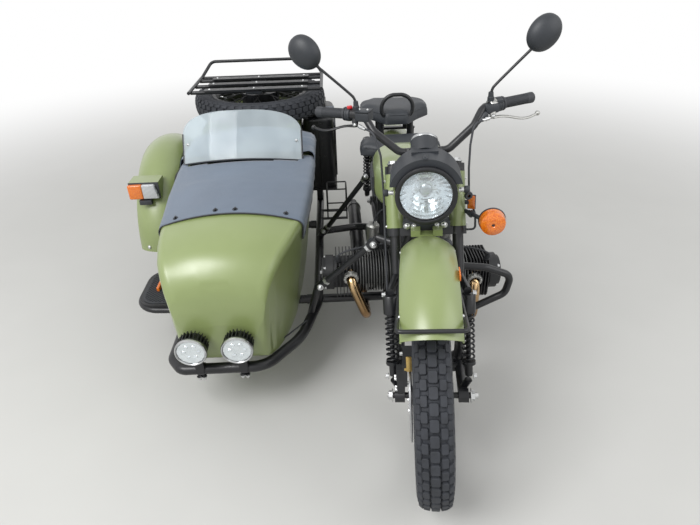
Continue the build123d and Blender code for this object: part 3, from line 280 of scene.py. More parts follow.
# %% Olive powder coat
olive_paint, tree, coat, where = material(
    "olive_powder_coat", Roughness=0.4, Coat_Weight=1.0, Coat_Roughness=0.32,
)
dust = add(tree, "TexNoise", Vector=where, Scale=5.0, Detail=3.0)
add(tree, "Mix", COLOURS, to=coat["Base Color"], out=2, _0=dust, _6="#7b8a50", _7="#8e9c66")
worn = add(tree, "TexNoise", Vector=where, Scale=22.0, Detail=4.0)
add(tree, "MapRange", to=coat["Roughness"], Value=worn, **NOISE_SPAN, To_Min=0.34, To_Max=0.46)
peel = add(tree, "TexNoise", Vector=where, Scale=320.0, Detail=1.0)
add(tree, "Bump", to=coat["Normal"], Height=peel, Distance=0.00004, Strength=1.0)

# %% [markdown]
# ## Black paint on tubes
# Frames, racks and guards are black powder coat over steel tube. Real black is never zero: it is
# a dark grey that the light shapes, with a slightly rougher skin than the green. Stone chips show
# as sparse paler specks a few millimetres wide.

# %% Black powder coat
black_paint, tree, coat, where = material("black_powder_coat", Roughness=0.33, IOR=1.5)
specks = add(tree, "TexNoise", Vector=where, Scale=170.0, Detail=3.0)
chips = add(tree, "MapRange", Value=specks, From_Min=0.7, From_Max=0.78, To_Min=0.0, To_Max=0.5)
add(tree, "Mix", COLOURS, to=coat["Base Color"], out=2, _0=chips, _6="#1b1c1f", _7="#4b4b49")
worn = add(tree, "TexNoise", Vector=where, Scale=40.0, Detail=4.0)
add(tree, "MapRange", to=coat["Roughness"], Value=worn, **NOISE_SPAN, To_Min=0.26, To_Max=0.42)

# %% [markdown]
# ## Tyre rubber and soft rubber
# Tyre rubber is a carbon-black dielectric with a broad dull sheen. Dust stays in the grooves and on
# the block faces, so paler grey sits in blotches of a few centimetres. Grips, pads and hoses are
# a smoother moulded rubber.

# %% Rubbers
tyre_rubber, tree, coat, where = material("tyre_rubber", Roughness=0.75, IOR=1.52)
dust = add(tree, "TexNoise", Vector=where, Scale=30.0, Detail=5.0)
add(tree, "Mix", COLOURS, to=coat["Base Color"], out=2, _0=dust, _6="#1e2024", _7="#3b3e45")
grain = add(tree, "TexNoise", Vector=where, Scale=600.0, Detail=2.0)
add(tree, "Bump", to=coat["Normal"], Height=grain, Distance=0.0002, Strength=0.8)

soft_rubber, tree, coat, where = material("moulded_rubber", Roughness=0.6, IOR=1.52)
dust = add(tree, "TexNoise", Vector=where, Scale=60.0, Detail=4.0)
add(tree, "Mix", COLOURS, to=coat["Base Color"], out=2, _0=dust, _6="#2b2d31", _7="#3a3c41")
grain = add(tree, "TexNoise", Vector=where, Scale=900.0, Detail=2.0)
add(tree, "Bump", to=coat["Normal"], Height=grain, Distance=0.0001, Strength=0.6)

# %% [markdown]
# ## Castings
# Crankcase and cylinders are sand-cast aluminium under black heat paint, rough to the touch, with
# grains of about half a millimetre; drawn a little coarser so that it shows. The carburettors are
# bare die castings, paler and smoother; the brake caliper is given the black heat paint.

# %% Castings
engine_black, tree, coat, where = material("black_heat_paint_on_casting", Roughness=0.52, IOR=1.5)
stain = add(tree, "TexNoise", Vector=where, Scale=18.0, Detail=5.0)
add(tree, "Mix", COLOURS, to=coat["Base Color"], out=2, _0=stain, _6="#1c1d1f", _7="#333436")
sand = add(tree, "TexNoise", Vector=where, Scale=700.0, Detail=3.0)
add(tree, "Bump", to=coat["Normal"], Height=sand, Distance=0.0003, Strength=0.8)

bare_alloy, tree, coat, where = material("die_cast_aluminium", Metallic=1.0, Roughness=0.42)
stain = add(tree, "TexNoise", Vector=where, Scale=35.0, Detail=4.0)
add(tree, "Mix", COLOURS, to=coat["Base Color"], out=2, _0=stain, _6="#9c9c9a", _7="#c4c4c0")
add(tree, "MapRange", to=coat["Roughness"], Value=stain, **NOISE_SPAN, To_Min=0.35, To_Max=0.55)
sand = add(tree, "TexNoise", Vector=where, Scale=500.0, Detail=2.0)
add(tree, "Bump", to=coat["Normal"], Height=sand, Distance=0.0001, Strength=0.6)

# The fin rims' pale metal is a painted highlight along the fin edges; the noise varies its tone.
fin_edge, tree, coat, where = material("pale_fin_rim_painted_highlight", Metallic=1.0, Roughness=0.5)
film = add(tree, "TexNoise", Vector=where, Scale=30.0, Detail=4.0)
add(tree, "Mix", COLOURS, to=coat["Base Color"], out=2, _0=film, _6="#5b5c5c", _7="#858685")

# %% [markdown]
# ## Steel that shows
# Bolts are zinc plated, the brake disc is ground stainless steel, and the exhaust headers are
# stainless tube that heat has tinted: straw near the port, then bronze, then brown. The tint comes
# from an oxide film, so it stays metallic and only the colour of the reflection changes. It runs
# along the pipe, so a slow gradient in height with some noise draws it.

# %% Steels
zinc_plate, tree, coat, where = material("zinc_plated_steel", Metallic=1.0, Roughness=0.3)
spangle = add(tree, "TexNoise", Vector=where, Scale=260.0, Detail=2.0)
add(tree, "Mix", COLOURS, to=coat["Base Color"], out=2, _0=spangle, _6="#b9bbbd", _7="#dcdddc")
add(tree, "MapRange", to=coat["Roughness"], Value=spangle, **NOISE_SPAN, To_Min=0.22, To_Max=0.38)

disc_steel, tree, coat, where = material("ground_stainless_steel", Metallic=1.0, Roughness=0.28)
rub = add(tree, "TexNoise", Vector=where, Scale=90.0, Detail=6.0)
add(tree, "Mix", COLOURS, to=coat["Base Color"], out=2, _0=rub, _6="#a9abad", _7="#cfd0d0")

header_steel, tree, coat, where = material("heat_tinted_stainless_tube", Metallic=1.0, Roughness=0.22)
height = add(tree, "SeparateXYZ", Vector=where, out=2)
cloud = add(tree, "TexNoise", Vector=where, Scale=14.0, Detail=3.0)
rise = add(tree, "Math", {"operation": "MULTIPLY_ADD"}, _0=cloud, _1=0.12, _2=height)
heat = add(tree, "MapRange", Value=rise, From_Min=0.3, From_Max=0.52)
tint = add(tree, "Mix", COLOURS, out=2, _0=heat, _6="#7d5a3a", _7="#d9b98c")
dark = add(tree, "MapRange", Value=rise, From_Min=0.2, From_Max=0.34)
add(tree, "Mix", COLOURS, to=coat["Base Color"], out=2, _0=dark, _6="#4c3c30", _7=tint)
add(tree, "MapRange", to=coat["Roughness"], Value=cloud, **NOISE_SPAN, To_Min=0.15, To_Max=0.32)

# %% [markdown]
# ## Vinyl and cover cloth
# The saddles are covered with black vinyl leathercloth, which has a pressed leather grain of about
# 1 mm, drawn at 2 mm so that it shows. The sidecar's apron and tonneau are black PVC-coated
# polyester with faint folds; their pale blue-grey base colour is a painted reflection of the sky.

# %% Vinyl and cover cloth
black_vinyl, tree, coat, where = material("black_vinyl_leathercloth", Roughness=0.48, IOR=1.5)
cells = add(tree, "TexVoronoi", {"feature": "DISTANCE_TO_EDGE"}, Vector=where, Scale=480.0)
sun = add(tree, "TexNoise", Vector=where, Scale=9.0, Detail=2.0)
add(tree, "Mix", COLOURS, to=coat["Base Color"], out=2, _0=sun, _6="#24272b", _7="#33373d")
add(tree, "Bump", to=coat["Normal"], Height=cells, Distance=0.0004, Strength=0.7)

cover_cloth, tree, coat, where = material(
    "coated_polyester_cloth_painted_sky_sheen", Roughness=0.5, IOR=1.48, Sheen_Weight=0.25,
)
# The two blue-greys below are a painted sky reflection on black cloth; the noise makes it patchy.
sun = add(tree, "TexNoise", Vector=where, Scale=6.0, Detail=3.0)
add(tree, "Mix", COLOURS, to=coat["Base Color"], out=2, _0=sun, _6="#5c6878", _7="#6f7c8d")
add(tree, "MapRange", to=coat["Roughness"], Value=sun, **NOISE_SPAN, To_Min=0.42, To_Max=0.56)
weave = add(tree, "TexWave", {"wave_type": "BANDS", "bands_direction": "X"}, Vector=where, Scale=330.0)
across = add(tree, "TexWave", {"wave_type": "BANDS", "bands_direction": "Y"}, Vector=where, Scale=330.0)
cross = add(tree, "Math", {"operation": "MULTIPLY"}, _0=weave, _1=across)
add(tree, "Bump", to=coat["Normal"], Height=cross, Distance=0.0002, Strength=0.5)

# %% [markdown]
# ## Moulded plastic
# Switch housings, mirror shells and the instrument cowl are ABS with a fine spark-eroded grain,
# which spreads the light. Drawn at 1.5 mm so that it shows.

# %% Plastic
black_plastic, tree, coat, where = material("grained_black_abs", Roughness=0.5, IOR=1.53)
grain = add(tree, "TexNoise", Vector=where, Scale=650.0, Detail=2.0)
cloud = add(tree, "TexNoise", Vector=where, Scale=12.0, Detail=2.0)
add(tree, "Mix", COLOURS, to=coat["Base Color"], out=2, _0=cloud, _6="#25282c", _7="#30343a")
add(tree, "Bump", to=coat["Normal"], Height=grain, Distance=0.0002, Strength=0.7)

# %% [markdown]
# ## Glass and lenses
# The windshield is 4 mm acrylic: it lets most light through, and what shows is its reflection of a
# pale sky and a faint milky haze. Mixing a transparent shader with the Principled one, by a share
# that a noise sets, keeps such thin sheet free of the dark rim that a solid glass shader draws.
# Lenses are polycarbonate; the amber and red ones are tinted in the mass.

# %% Glass and lenses
acrylic, tree, coat, where = material("clear_acrylic_sheet", Base_Color="#dfe8ec", Roughness=0.06, IOR=1.49)
haze = add(tree, "TexNoise", Vector=where, Scale=5.0, Detail=2.0)
clear = add(tree, "BsdfTransparent", Color="#e6eef2")
cloudy = add(tree, "MapRange", Value=haze, From_Min=0.25, From_Max=0.75, To_Min=0.3, To_Max=0.5)
skin = tree.nodes["Principled BSDF"].outputs["BSDF"]
add(tree, "MixShader", to=tree.nodes["Material Output"].inputs["Surface"], _0=cloudy, _1=clear, _2=skin)

lamp_glass, tree, coat, where = material("clear_lamp_glass", Base_Color="#ffffff", Roughness=0.02, IOR=1.5)
ripple = add(tree, "TexNoise", Vector=where, Scale=60.0, Detail=1.0)
clear = add(tree, "BsdfTransparent", Color="#f6fafc")
amount = add(tree, "MapRange", Value=ripple, **NOISE_SPAN, To_Min=0.1, To_Max=0.16)
skin = tree.nodes["Principled BSDF"].outputs["BSDF"]
add(tree, "MixShader", to=tree.nodes["Material Output"].inputs["Surface"], _0=amount, _1=clear, _2=skin)

amber_lens, tree, coat, where = material("amber_polycarbonate", Roughness=0.15, IOR=1.58, Coat_Weight=0.6)
facets = add(tree, "TexVoronoi", {"feature": "F1"}, Vector=where, Scale=210.0)
add(tree, "Mix", COLOURS, to=coat["Base Color"], out=2, _0=facets, _6="#f08a1c", _7="#c9540a")
add(tree, "Bump", to=coat["Normal"], Height=facets, Distance=0.0006, Strength=0.6)

red_lens, tree, coat, where = material("red_polycarbonate", Roughness=0.15, IOR=1.58, Coat_Weight=0.6)
facets = add(tree, "TexVoronoi", {"feature": "F1"}, Vector=where, Scale=210.0)
add(tree, "Mix", COLOURS, to=coat["Base Color"], out=2, _0=facets, _6="#b3191d", _7="#7c0c12")
add(tree, "Bump", to=coat["Normal"], Height=facets, Distance=0.0006, Strength=0.6)

# The clear lens is drawn opaque: its grey-to-white bands along the ribs are a painted reflection of a silver
# reflector and painted glints on the ribs.
clear_lens, tree, coat, where = material(
    "clear_ribbed_lens_painted_reflection", Roughness=0.12, IOR=1.58, Coat_Weight=0.6,
)
ribs = add(tree, "TexWave", {"wave_type": "BANDS", "bands_direction": "X"}, Vector=where, Scale=60.0)
add(tree, "Mix", COLOURS, to=coat["Base Color"], out=2, _0=ribs, _6="#8d9196", _7="#d4d6d8")
add(tree, "Bump", to=coat["Normal"], Height=ribs, Distance=0.0006, Strength=0.6)

chrome_bowl, tree, coat, where = material("vacuum_aluminised_reflector", Metallic=1.0, Roughness=0.14)
mist = add(tree, "TexNoise", Vector=where, Scale=40.0, Detail=2.0)
add(tree, "Mix", COLOURS, to=coat["Base Color"], out=2, _0=mist, _6="#e4e6e8", _7="#ffffff")

# %% [markdown]
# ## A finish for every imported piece
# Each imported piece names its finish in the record. A table joins the record's finishes to the
# materials above, and a loop hands them out. The solids come with every face's own corners, so a
# weld joins them and shading by angle keeps curved sheet smooth and folded edges crisp; both are
# modifiers, and the meshes themselves stay as they were packed.

# %% Hand out the finishes
# The amber lamps' solids show as their housings, because their lenses are made in a later cell.
finishes = {
    "green_paint": olive_paint, "black_paint": black_paint, "wheel_black": black_paint,
    "engine_black": engine_black, "bare_alloy": bare_alloy, "bright_steel": disc_steel,
    "tinted_steel": header_steel, "tyre_rubber": tyre_rubber, "rubber": soft_rubber,
    "vinyl": black_vinyl, "canvas": cover_cloth, "black_plastic": black_plastic,
    "clear_glass": acrylic, "lamp_glass": lamp_glass, "amber_lens": black_plastic,
}
for part in frame["record"]["subparts"]:
    node = nodes[part["node"]]
    node.data.materials.clear()
    node.data.materials.append(finishes[part["material_slot"]])
nodes["front_caliper"].data.materials[0] = engine_black
print(len(set(finishes.values())), "materials cover", len(nodes), "packed pieces")

# %% Smooth curved sheet
CURVED = ("sidecar_hull", "front_fender", "rear_fender", "sidecar_fender", "knee_pads", "windshield")
for name in CURVED:
    weld = nodes[name].modifiers.new("join_faces", "WELD")
    weld.merge_threshold = 0.00005
    even = nodes[name].modifiers.new("even_shading", "WEIGHTED_NORMAL")
    even.keep_sharp = True
print(len(CURVED), "pieces of curved sheet are shaded evenly")

# %% Round the tank
# The tank is pressed from sheet in a soft die, so no flat shows on it. The solid is lofted
# straight between six sections; an even grid over it, relaxed, turns those into one soft form.
tank = nodes["fuel_tank"]
even_grid = tank.modifiers.new("even_grid", "REMESH")
even_grid.mode = "VOXEL"
even_grid.voxel_size = 0.0045
even_grid.use_smooth_shade = True
relaxed = tank.modifiers.new("relaxed", "SMOOTH")
relaxed.factor = 0.6
relaxed.iterations = 45
drawn = tank.evaluated_get(bpy.context.evaluated_depsgraph_get())
print("the tank is drawn with", len(drawn.data.polygons), "faces")

# %% [markdown]
# ## Tyres
# A dual-purpose tyre has one row of long blocks along its middle, a staggered row on each side of
# it and lugs over the shoulders. They could be a bump map, but the blocks make the outline ragged
# against the floor, so they are real. One tyre is drawn about its own axle and used four times:
# the carcass is turned from an outline, and each block is a small prism whose top is a little
# smaller than its foot, as the mould leaves it.

# %% Tread block


def tread_block(shape, angle, across, far, tilt, half_wide, half_long, deep):
    """A block on the tread: at an angle round the wheel, a place across it and a tilt to the side."""
    cut = 0.3 * min(half_wide, half_long)
    corners = [
        (half_wide, half_long - cut), (half_wide - cut, half_long), (cut - half_wide, half_long),
        (-half_wide, half_long - cut), (-half_wide, cut - half_long), (cut - half_wide, -half_long),
        (half_wide - cut, -half_long), (half_wide, cut - half_long),
    ]
    lean = Matrix.Rotation(radians(tilt), 4, "Y")
    turned = Matrix.Rotation(angle, 4, "X") @ Matrix.Translation((across, 0, far)) @ lean
    rings = []
    for scale, height in ((1.1, -deep), (1.0, -1.4), (0.9, 0.0)):
        rings.append([shape.verts.new(turned @ Vector((x * scale, y * scale, height))) for x, y in corners])
    for low, high in zip(rings, rings[1:]):
        for i in range(8):
            shape.faces.new((low[i], low[(i + 1) % 8], high[(i + 1) % 8], high[i]))
    shape.faces.new(rings[2])


# %% Knobby tyres
BLOCKS = 50
SIDEWALL = [
    (36.3, 241.3), (37, 254.5), (45, 262), (51.5, 278), (54.5, 297), (53, 313), (47, 326), (34, 333),
    (16, 336.5),
]
SIDEWALL_RINGS = ((48.6, 268), (54.4, 306))
TREAD_ROWS = [
    # share of a pitch, place across, radius, tilt, half width, half length, depth
    (0.5, 27, 343, 12, 9.5, 15, 10),
    (0.0, 44.5, 335, 38, 8, 12.5, 9),
    (0.5, 51.5, 321.5, 66, 6, 10, 6),
]
tyre_outline = SIDEWALL + [(-x, r) for x, r in reversed(SIDEWALL)]
tread = bmesh.new()
lathe(tread, tyre_outline, 100, Matrix())
for k in range(BLOCKS):
    tread_block(tread, 2 * pi * k / BLOCKS, 0, TYRE_R, 0, 12.5, 17, 10)
    for side in (-1, 1):
        for shift, across, far, tilt, *size in TREAD_ROWS:
            tread_block(tread, 2 * pi * (k + shift) / BLOCKS, side * across, far, side * tilt, *size)
for ring_x, ring_r in SIDEWALL_RINGS:
    for side in (-1, 1):
        x = side * ring_x
        lathe(tread, [(x, ring_r - 1.2), (x + side * 1.2, ring_r), (x, ring_r + 1.2)], 100, Matrix())
tread.normal_update()
tyre_shape = bpy.data.meshes.new("tyre_shape")
tread.to_mesh(tyre_shape)
tread.free()
WHEELS = [
    # name, body, and the seat of its hub
    ("front", "front_wheel", seat((0, 0, TYRE_R), on_fork=True)),
    ("rear", "rear_wheel", seat((0, WHEELBASE, TYRE_R))),
    ("sidecar", "sidecar_wheel", seat(SIDECAR_WHEEL)),
    ("spare", "trunk_lid", seat(SPARE_WHEEL, (0, 0, 1))),
]
for name, body, hub in WHEELS:
    shape = bmesh.new()
    shape.from_mesh(tyre_shape)
    bmesh.ops.transform(shape, matrix=hub, verts=shape.verts)
    made = finish_piece(name + "_tread", shape, tyre_rubber, body, crease=30)
    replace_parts(made, name + "_tyre")

# %% [markdown]
# ## Headlamp
# Behind the glass sits an aluminised bowl whose small facets aim the light, with a shield in
# front of the bulb and a small parking light below it. The facets are what makes it sparkle, so
# the bowl is turned in coarse flat steps and left unsmoothed.

# %% Headlamp
lamp = seat((0, 188, 972), (0, 1, 0), True)
bulb = seat((0, 188, 984), (0, 1, 0), True)
shape = bmesh.new()
bowl = [(6.5 + 58 * (1 - (r / 78) ** 2), r) for r in (78, 71, 63, 54, 44, 33, 21, 10, 0)]
lathe(shape, bowl, 28, lamp, wave=lambda angle, along: 1 - 0.012 * (round(angle * 9 + along) % 2))
finish_piece("headlamp_reflector", shape, chrome_bowl, "fork", crease=2)

shape = bmesh.new()
lathe(shape, [(18, 0), (16, 8), (19, 17), (24, 21), (26, 20), (22, 16), (19, 0)], 24, bulb)
lathe(shape, [(24, 0), (26, 5), (34, 7), (52, 7)], 16, bulb)
lathe(shape, [(17, 0), (18, 4), (22, 6.5), (40, 7)], 16, seat((0, 188, 934), (0, 1, 0), True))
for side in (-1, 1):
    plate(shape, (26, 1.2, 3), seat((side * 22, 212, 984), (1, 0, 0), True), bevel=0.4, segments=1)
finish_piece("headlamp_bulbs", shape, disc_steel, "fork")

shape = bmesh.new()
trim = [(-2.5, 79.5), (-4, 82), (-4, 88), (-1.5, 92.5), (3, 93), (3, 91.8), (0, 91), (0, 80), (-2.5, 79.5)]
lathe(shape, trim, 72, lamp)
finish_piece("headlamp_rim", shape, black_paint, "fork")

# %% [markdown]
# ## Spot lamps
# The two lamps on the sidecar's bumper have a polished ring, a clear cover and a bright, shallow
# reflector with pressed pimples. Their cooling fins are already solids.

# %% Spot lamps
for name, x in SPOT_LAMPS.items():
    spot = seat((x, 196, 405), (0, 1, 0))
    shape = bmesh.new()
    pan = [(1.5 + 3.2 * (1 - (r / 49) ** 2), r) for r in (49, 43, 37, 31, 25, 19, 13, 7, 0)]
    lathe(shape, pan, 30, spot, wave=lambda angle, along: 1 - 0.02 * (round(angle * 5 + along * 3) % 2))
    for dx, dz in circle(6, 26):
        lathe(shape, [(4, 8), (1.2, 7), (-0.4, 4.5), (-1, 0)], 12, seat((x + dx, 196, 405 + dz), (0, 1, 0)))
    finish_piece(name + "_spot_reflector", shape, chrome_bowl, "machine", crease=3)
    shape = bmesh.new()
    lathe(shape, [(4, 50), (-2, 50.5), (-4, 52.5), (-3.5, 55.5), (0, 57.2), (6, 57.2), (6, 56.3)], 64, spot)
    finish_piece(name + "_spot_ring", shape, disc_steel, "machine")
    shape = bmesh.new()
    lathe(shape, [(-1.5, 50.2), (-4.5, 34), (-5.6, 16), (-6, 0)], 48, spot)
    finish_piece(name + "_spot_glass", shape, lamp_glass, "machine")

# %% [markdown]
# ## Marker and turn lamps
# The fender lamp has two lenses side by side, amber outside and clear inside, in a thin black
# gasket. Each is a block with a sloped end, bevelled like a moulding. The turn lamp on the fork
# is a round amber lens with a shallow dome and a dimple for the bulb; the tail lamp is red.

# %% Fender lamp
LENS_BACK, LENS_FOOT, LENS_TOP = 1033, 630, 697


def lens_block(shape, near, far, far_top, front):
    """A lens moulding of the fender lamp, whose far end may slope between two places along X."""
    made = bmesh.ops.create_cube(shape, size=1.0)["verts"]
    for vert in made:
        high = vert.co.z > 0
        x = (far_top if high else far) if vert.co.x > 0 else near
        vert.co = (x, front if vert.co.y < 0 else LENS_BACK, LENS_TOP if high else LENS_FOOT)
    round_edges(shape, made, seat((0, 0, 0)), 5, 3)


shape = bmesh.new()
lens_block(shape, near=-1239, far=-1176, far_top=-1176, front=1010)
finish_piece("fender_lamp_amber", shape, amber_lens, "machine")
shape = bmesh.new()
lens_block(shape, near=-1177, far=-1106, far_top=-1120, front=1012)
finish_piece("fender_lamp_clear", shape, clear_lens, "machine")
shape = bmesh.new()
plate(shape, (136, 4, 80), seat((-1171, 1033, 663)), bevel=1.5)
plate(shape, (56, 26, 22), seat((-1172, 1024, 612)), bevel=3)
finish_piece("fender_lamp_gasket", shape, soft_rubber, "machine")

# %% Turn lamp and tail lamp
turn_lamp = seat((205, 246, 846), (0, 1, 0), True)
shape = bmesh.new()
dome = [(16, 41), (0, 41.4), (-14, 38), (-21, 27), (-24, 12), (-23, 7), (-20, 4.5), (-19, 0)]
lathe(shape, dome, 48, turn_lamp)
finish_piece("front_signal_lens", shape, amber_lens, "fork")
shape = bmesh.new()
lathe(shape, [(12, 41.8), (14, 43), (18, 43), (22, 36), (26, 24), (27, 0)], 48, turn_lamp)
stalk = seat((143, 309, 849), (0.63, -0.76, -0.03), True)
lathe(shape, [(-9, 0), (-9, 9), (-1, 9), (-1, 12), (9, 12), (9, 0)], 6, stalk)
finish_piece("front_signal_cup", shape, black_plastic, "fork")
shape = bmesh.new()
tail_front = (0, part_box("marker_lamps")[1][1] / MM - FRONT_AXLE_Y, 610)
lathe(shape, [(-22, 42.6), (-4, 42.6), (2, 40), (6, 30), (8, 15), (8.5, 0)], 48, seat(tail_front, (0, 1, 0)))
finish_piece("tail_lamp_lens", shape, red_lens, "machine")

# %% [markdown]
# ## Spring and damper units
# The solids stand for each coil with plain rings. The real spring is one wire wound as a helix
# round a damper tube, between two seats, so a curve does it best: a helix is a circle that climbs,
# and its bevel is the wire. The damper itself is turned, with its rod, collars and eyes.

# %% Spring and damper


def spring_unit(name, low, high, body_d, spring_d, turns, wire, body, on_fork=False):
    """A damper with its open coil between two seats, from its low end to its high end."""
    way = (Vector(high) - Vector(low)).normalized()
    long = (Vector(high) - Vector(low)).length
    seat_low, seat_high = 46, long - 62
    shape = bmesh.new()
    outline = [
        (0, 0), (0, body_d * 0.42), (6, body_d * 0.5), (26, body_d * 0.5), (38, body_d * 0.5),
        (40, spring_d * 0.5), (44, spring_d * 0.52), (52, spring_d * 0.5), (52, body_d * 0.3),
        (long * 0.62, body_d * 0.3), (long * 0.62, body_d * 0.46), (seat_high, body_d * 0.46),
        (seat_high, spring_d * 0.5), (seat_high + 2, spring_d * 0.545), (long - 3, spring_d * 0.545),
        (long, spring_d * 0.5), (long, 0),
    ]
    lathe(shape, outline, 40, seat(low, way, on_fork))
    finish_piece(name + "_damper", shape, black_paint, body)
    radius = (spring_d - wire) / 2 * 1.02
    steps = turns * 12
    sit = seat(low, way, on_fork)
    helix = []
    for i in range(steps + 1):
        angle = 2 * pi * turns * i / steps
        along = seat_low + 8 + (seat_high - seat_low - 10) * i / steps
        helix.append(sit @ Vector((along, radius * cos(angle), radius * sin(angle))))
    return tube(name + "_coil", helix, wire, black_paint, body, order=4, detail=(2, 2))


for side, name in SIDES:
    low, high = (side * 122, 34, 402), (side * 122, 128, 660)
    coil = spring_unit("front_" + name, low, high, 26, 44, 9, 6.5, "fork", True)
    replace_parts(coil, "front_shocks")
for side, name in SIDES:
    low, high = (side * 128, 1478, 392), (side * 128, 1392, 743)
    coil = spring_unit("rear_" + name, low, high, 28, 46, 12, 7, "machine")
    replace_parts(coil, "rear_shocks")
spring_unit("sidecar", (-1040, 1330, 356), (-1036, 1290, 675.3), 22, 34, 9, 5, "machine")

# %% [markdown]
# ## Saddles and the sidecar's seat
# A saddle is foam under a stretched cover: crowned on top, rounded at its edges and flat only on
# its pan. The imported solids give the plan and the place. Cloth simulation with a little air
# pressure and no gravity swells each one evenly, which no bevel does. The pad starts a few
# millimetres small, the movement is capped, and one subdivision smooths what comes out. Piping is
# sewn round the edge afterwards, because the remesh would wipe it out.

# %% Cushion maker
AIR_PRESSURE = 4.0
LAST_FRAME = 20
SMOOTH_ROUNDS = 14


def cushion(name, source, chosen, shrink, voxel, cap):
    """Swells a copy of part of a packed soft solid, and leaves its underside on the pan."""
    shape = bmesh.new()
    shape.from_mesh(source.data)
    bmesh.ops.delete(shape, geom=[v for v in shape.verts if not chosen(v.co)], context="VERTS")
    bmesh.ops.remove_doubles(shape, verts=shape.verts, dist=1e-5)
    shape.normal_update()
    middle = sum((v.co for v in shape.verts), Vector()) / len(shape.verts)
    for vert in shape.verts:
        vert.co -= (vert.co - middle).normalized() * shrink
    data = bpy.data.meshes.new(name)
    shape.to_mesh(data)
    shape.free()
    made = bpy.data.objects.new(name, data)
    bpy.context.scene.collection.objects.link(made)
    bpy.context.view_layer.objects.active = made
    data.remesh_voxel_size = voxel
    bpy.ops.object.select_all(action="DESELECT")
    made.select_set(True)
    bpy.ops.object.voxel_remesh()
    before = [vert.co.copy() for vert in made.data.vertices]
    floor_z = min(co.z for co in before)
    held = made.vertex_groups.new(name="pan")
    held.add([i for i, co in enumerate(before) if co.z < floor_z + voxel], 1.0, "REPLACE")
    air = made.modifiers.new("air", "CLOTH")
    air.settings.vertex_group_mass = "pan"
    air.settings.use_pressure = True
    air.settings.uniform_pressure_force = AIR_PRESSURE
    air.settings.effector_weights.gravity = 0.0
    air.settings.quality = 4
    air.point_cache.frame_start, air.point_cache.frame_end = 1, LAST_FRAME
    for number in range(1, LAST_FRAME + 1):
        bpy.context.scene.frame_set(number)
    swollen = made.evaluated_get(bpy.context.evaluated_depsgraph_get()).to_mesh()
    after = [vert.co.copy() for vert in swollen.vertices]
    made.evaluated_get(bpy.context.evaluated_depsgraph_get()).to_mesh_clear()
    made.modifiers.clear()
    for vert, was, now in zip(made.data.vertices, before, after):
        step = now - was
        vert.co = was + step * min(1.0, cap / max(step.length, 1e-9))
    bpy.context.scene.frame_set(1)
    smooth = bmesh.new()
    smooth.from_mesh(made.data)
    loose = [vert for vert in smooth.verts if vert.co.z > floor_z + voxel]
    every_axis = {"use_axis_x": True, "use_axis_y": True, "use_axis_z": True}
    for number in range(SMOOTH_ROUNDS):
        bmesh.ops.smooth_vert(smooth, verts=loose, factor=0.5, **every_axis)
    smooth.to_mesh(made.data)
    smooth.free()
    made.data.materials.clear()
    made.data.materials.append(black_vinyl)
    made.data.polygons.foreach_set("use_smooth", [True] * len(made.data.polygons))
    rounded = made.modifiers.new("rounded", "SUBSURF")
    rounded.levels = rounded.render_levels = 1
    bpy.ops.object.modifier_apply(modifier="rounded")
    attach(made, "machine")
    print(name, "has", len(made.data.polygons), "faces")
    return made


# %% Saddles
split_y = place(0, 1195, 0).y
padding = {"shrink": 0.004, "voxel": 0.006, "cap": 0.006}
driver = cushion("driver_saddle", nodes["saddles"], lambda co: co.y < split_y, **padding)
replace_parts(driver, "saddles")
passenger = cushion("passenger_saddle", nodes["saddles"], lambda co: co.y > split_y, **padding)
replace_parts(passenger, "saddles")
deep_padding = {"shrink": 0.008, "voxel": 0.010, "cap": 0.010}
bench = cushion("sidecar_bench", nodes["sidecar_seat"], lambda co: True, **deep_padding)
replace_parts(bench, "sidecar_seat")

# %% [markdown]
# Round each saddle the top panel is sewn to the skirt, and the seam stands proud as a thin welt. It
# is found where it belongs: a ray from outside meets the finished cushion at the height of the
# seam, all the way round.

# %% Welts


def rim_points(piece, height, count, proud=0.0006):
    """Points round a piece at a height, each where a level ray from outside first meets it."""
    skin = skin_of(piece)
    low = Vector([min(v.co[i] for v in piece.data.vertices) for i in range(3)])
    high = Vector([max(v.co[i] for v in piece.data.vertices) for i in range(3)])
    middle = (low + high) / 2
    found = []
    for i in range(count):
        way = Vector((cos(2 * pi * i / count), sin(2 * pi * i / count), 0))
        start = Vector((middle.x, middle.y, height)) + way * 0.8
        hit = skin.ray_cast(start, -way)[0]
        if hit is not None:
            found.append(hit + way * proud)
    return found


for piece, height in ((driver, 0.822), (passenger, 0.912)):
    points = rim_points(piece, height, 44)
    tube(piece.name + "_welt", points, 4.5, black_vinyl, "machine", closed=True)

# %% [markdown]
# ## Apron and tonneau
# The cockpit is closed by two covers of coated cloth: the apron from the nose to the windshield
# and the tonneau behind it. Each is one continuous sheet that is stretched over the hull, hangs a
# little over its sides and ends in a turned hem. Rays towards the hull's middle find the
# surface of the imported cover, so the sheet lies where the hull is, and a slow noise along the cloth
# gives it the soft pulls that stretched cloth has between its fasteners.

# %% Cover maker
SCREEN_R, SCREEN_X, SCREEN_Y, SCREEN_LOW = 470, -704, 966, 812
COVER_LEAN = 0.577
SCREEN_SIDE, COVER_SIDE, BESIDE_SCREEN = 255, 300, 235
UNDER_FOOT, UNDER_HEM, TURN_FROM, TURN_OVER = 12, 78, 216, 12
HULL_X = -695
RAY_FOOT, RAY_LENGTH = 0.62, 0.6
HEM_HEIGHT, CLOTH, COVER_RISE = 0.64, 0.0012, 0.005
LARGEST_STEP, LARGEST_EDGE = 0.012, 0.1
SIDE_RAYS, TOP_RAYS = 16, 44


def at_screen(x, z, gap):
    """Where a cover meets the leaning, curved screen: Y at a distance from its middle and a height."""
    across = min(abs(x), COVER_SIDE)
    beside = 0.5 * max(0, across - SCREEN_SIDE)
    depth = sqrt(SCREEN_R ** 2 - across ** 2)
    return SCREEN_Y + gap + beside + SCREEN_R - depth + (z - SCREEN_LOW) * COVER_LEAN


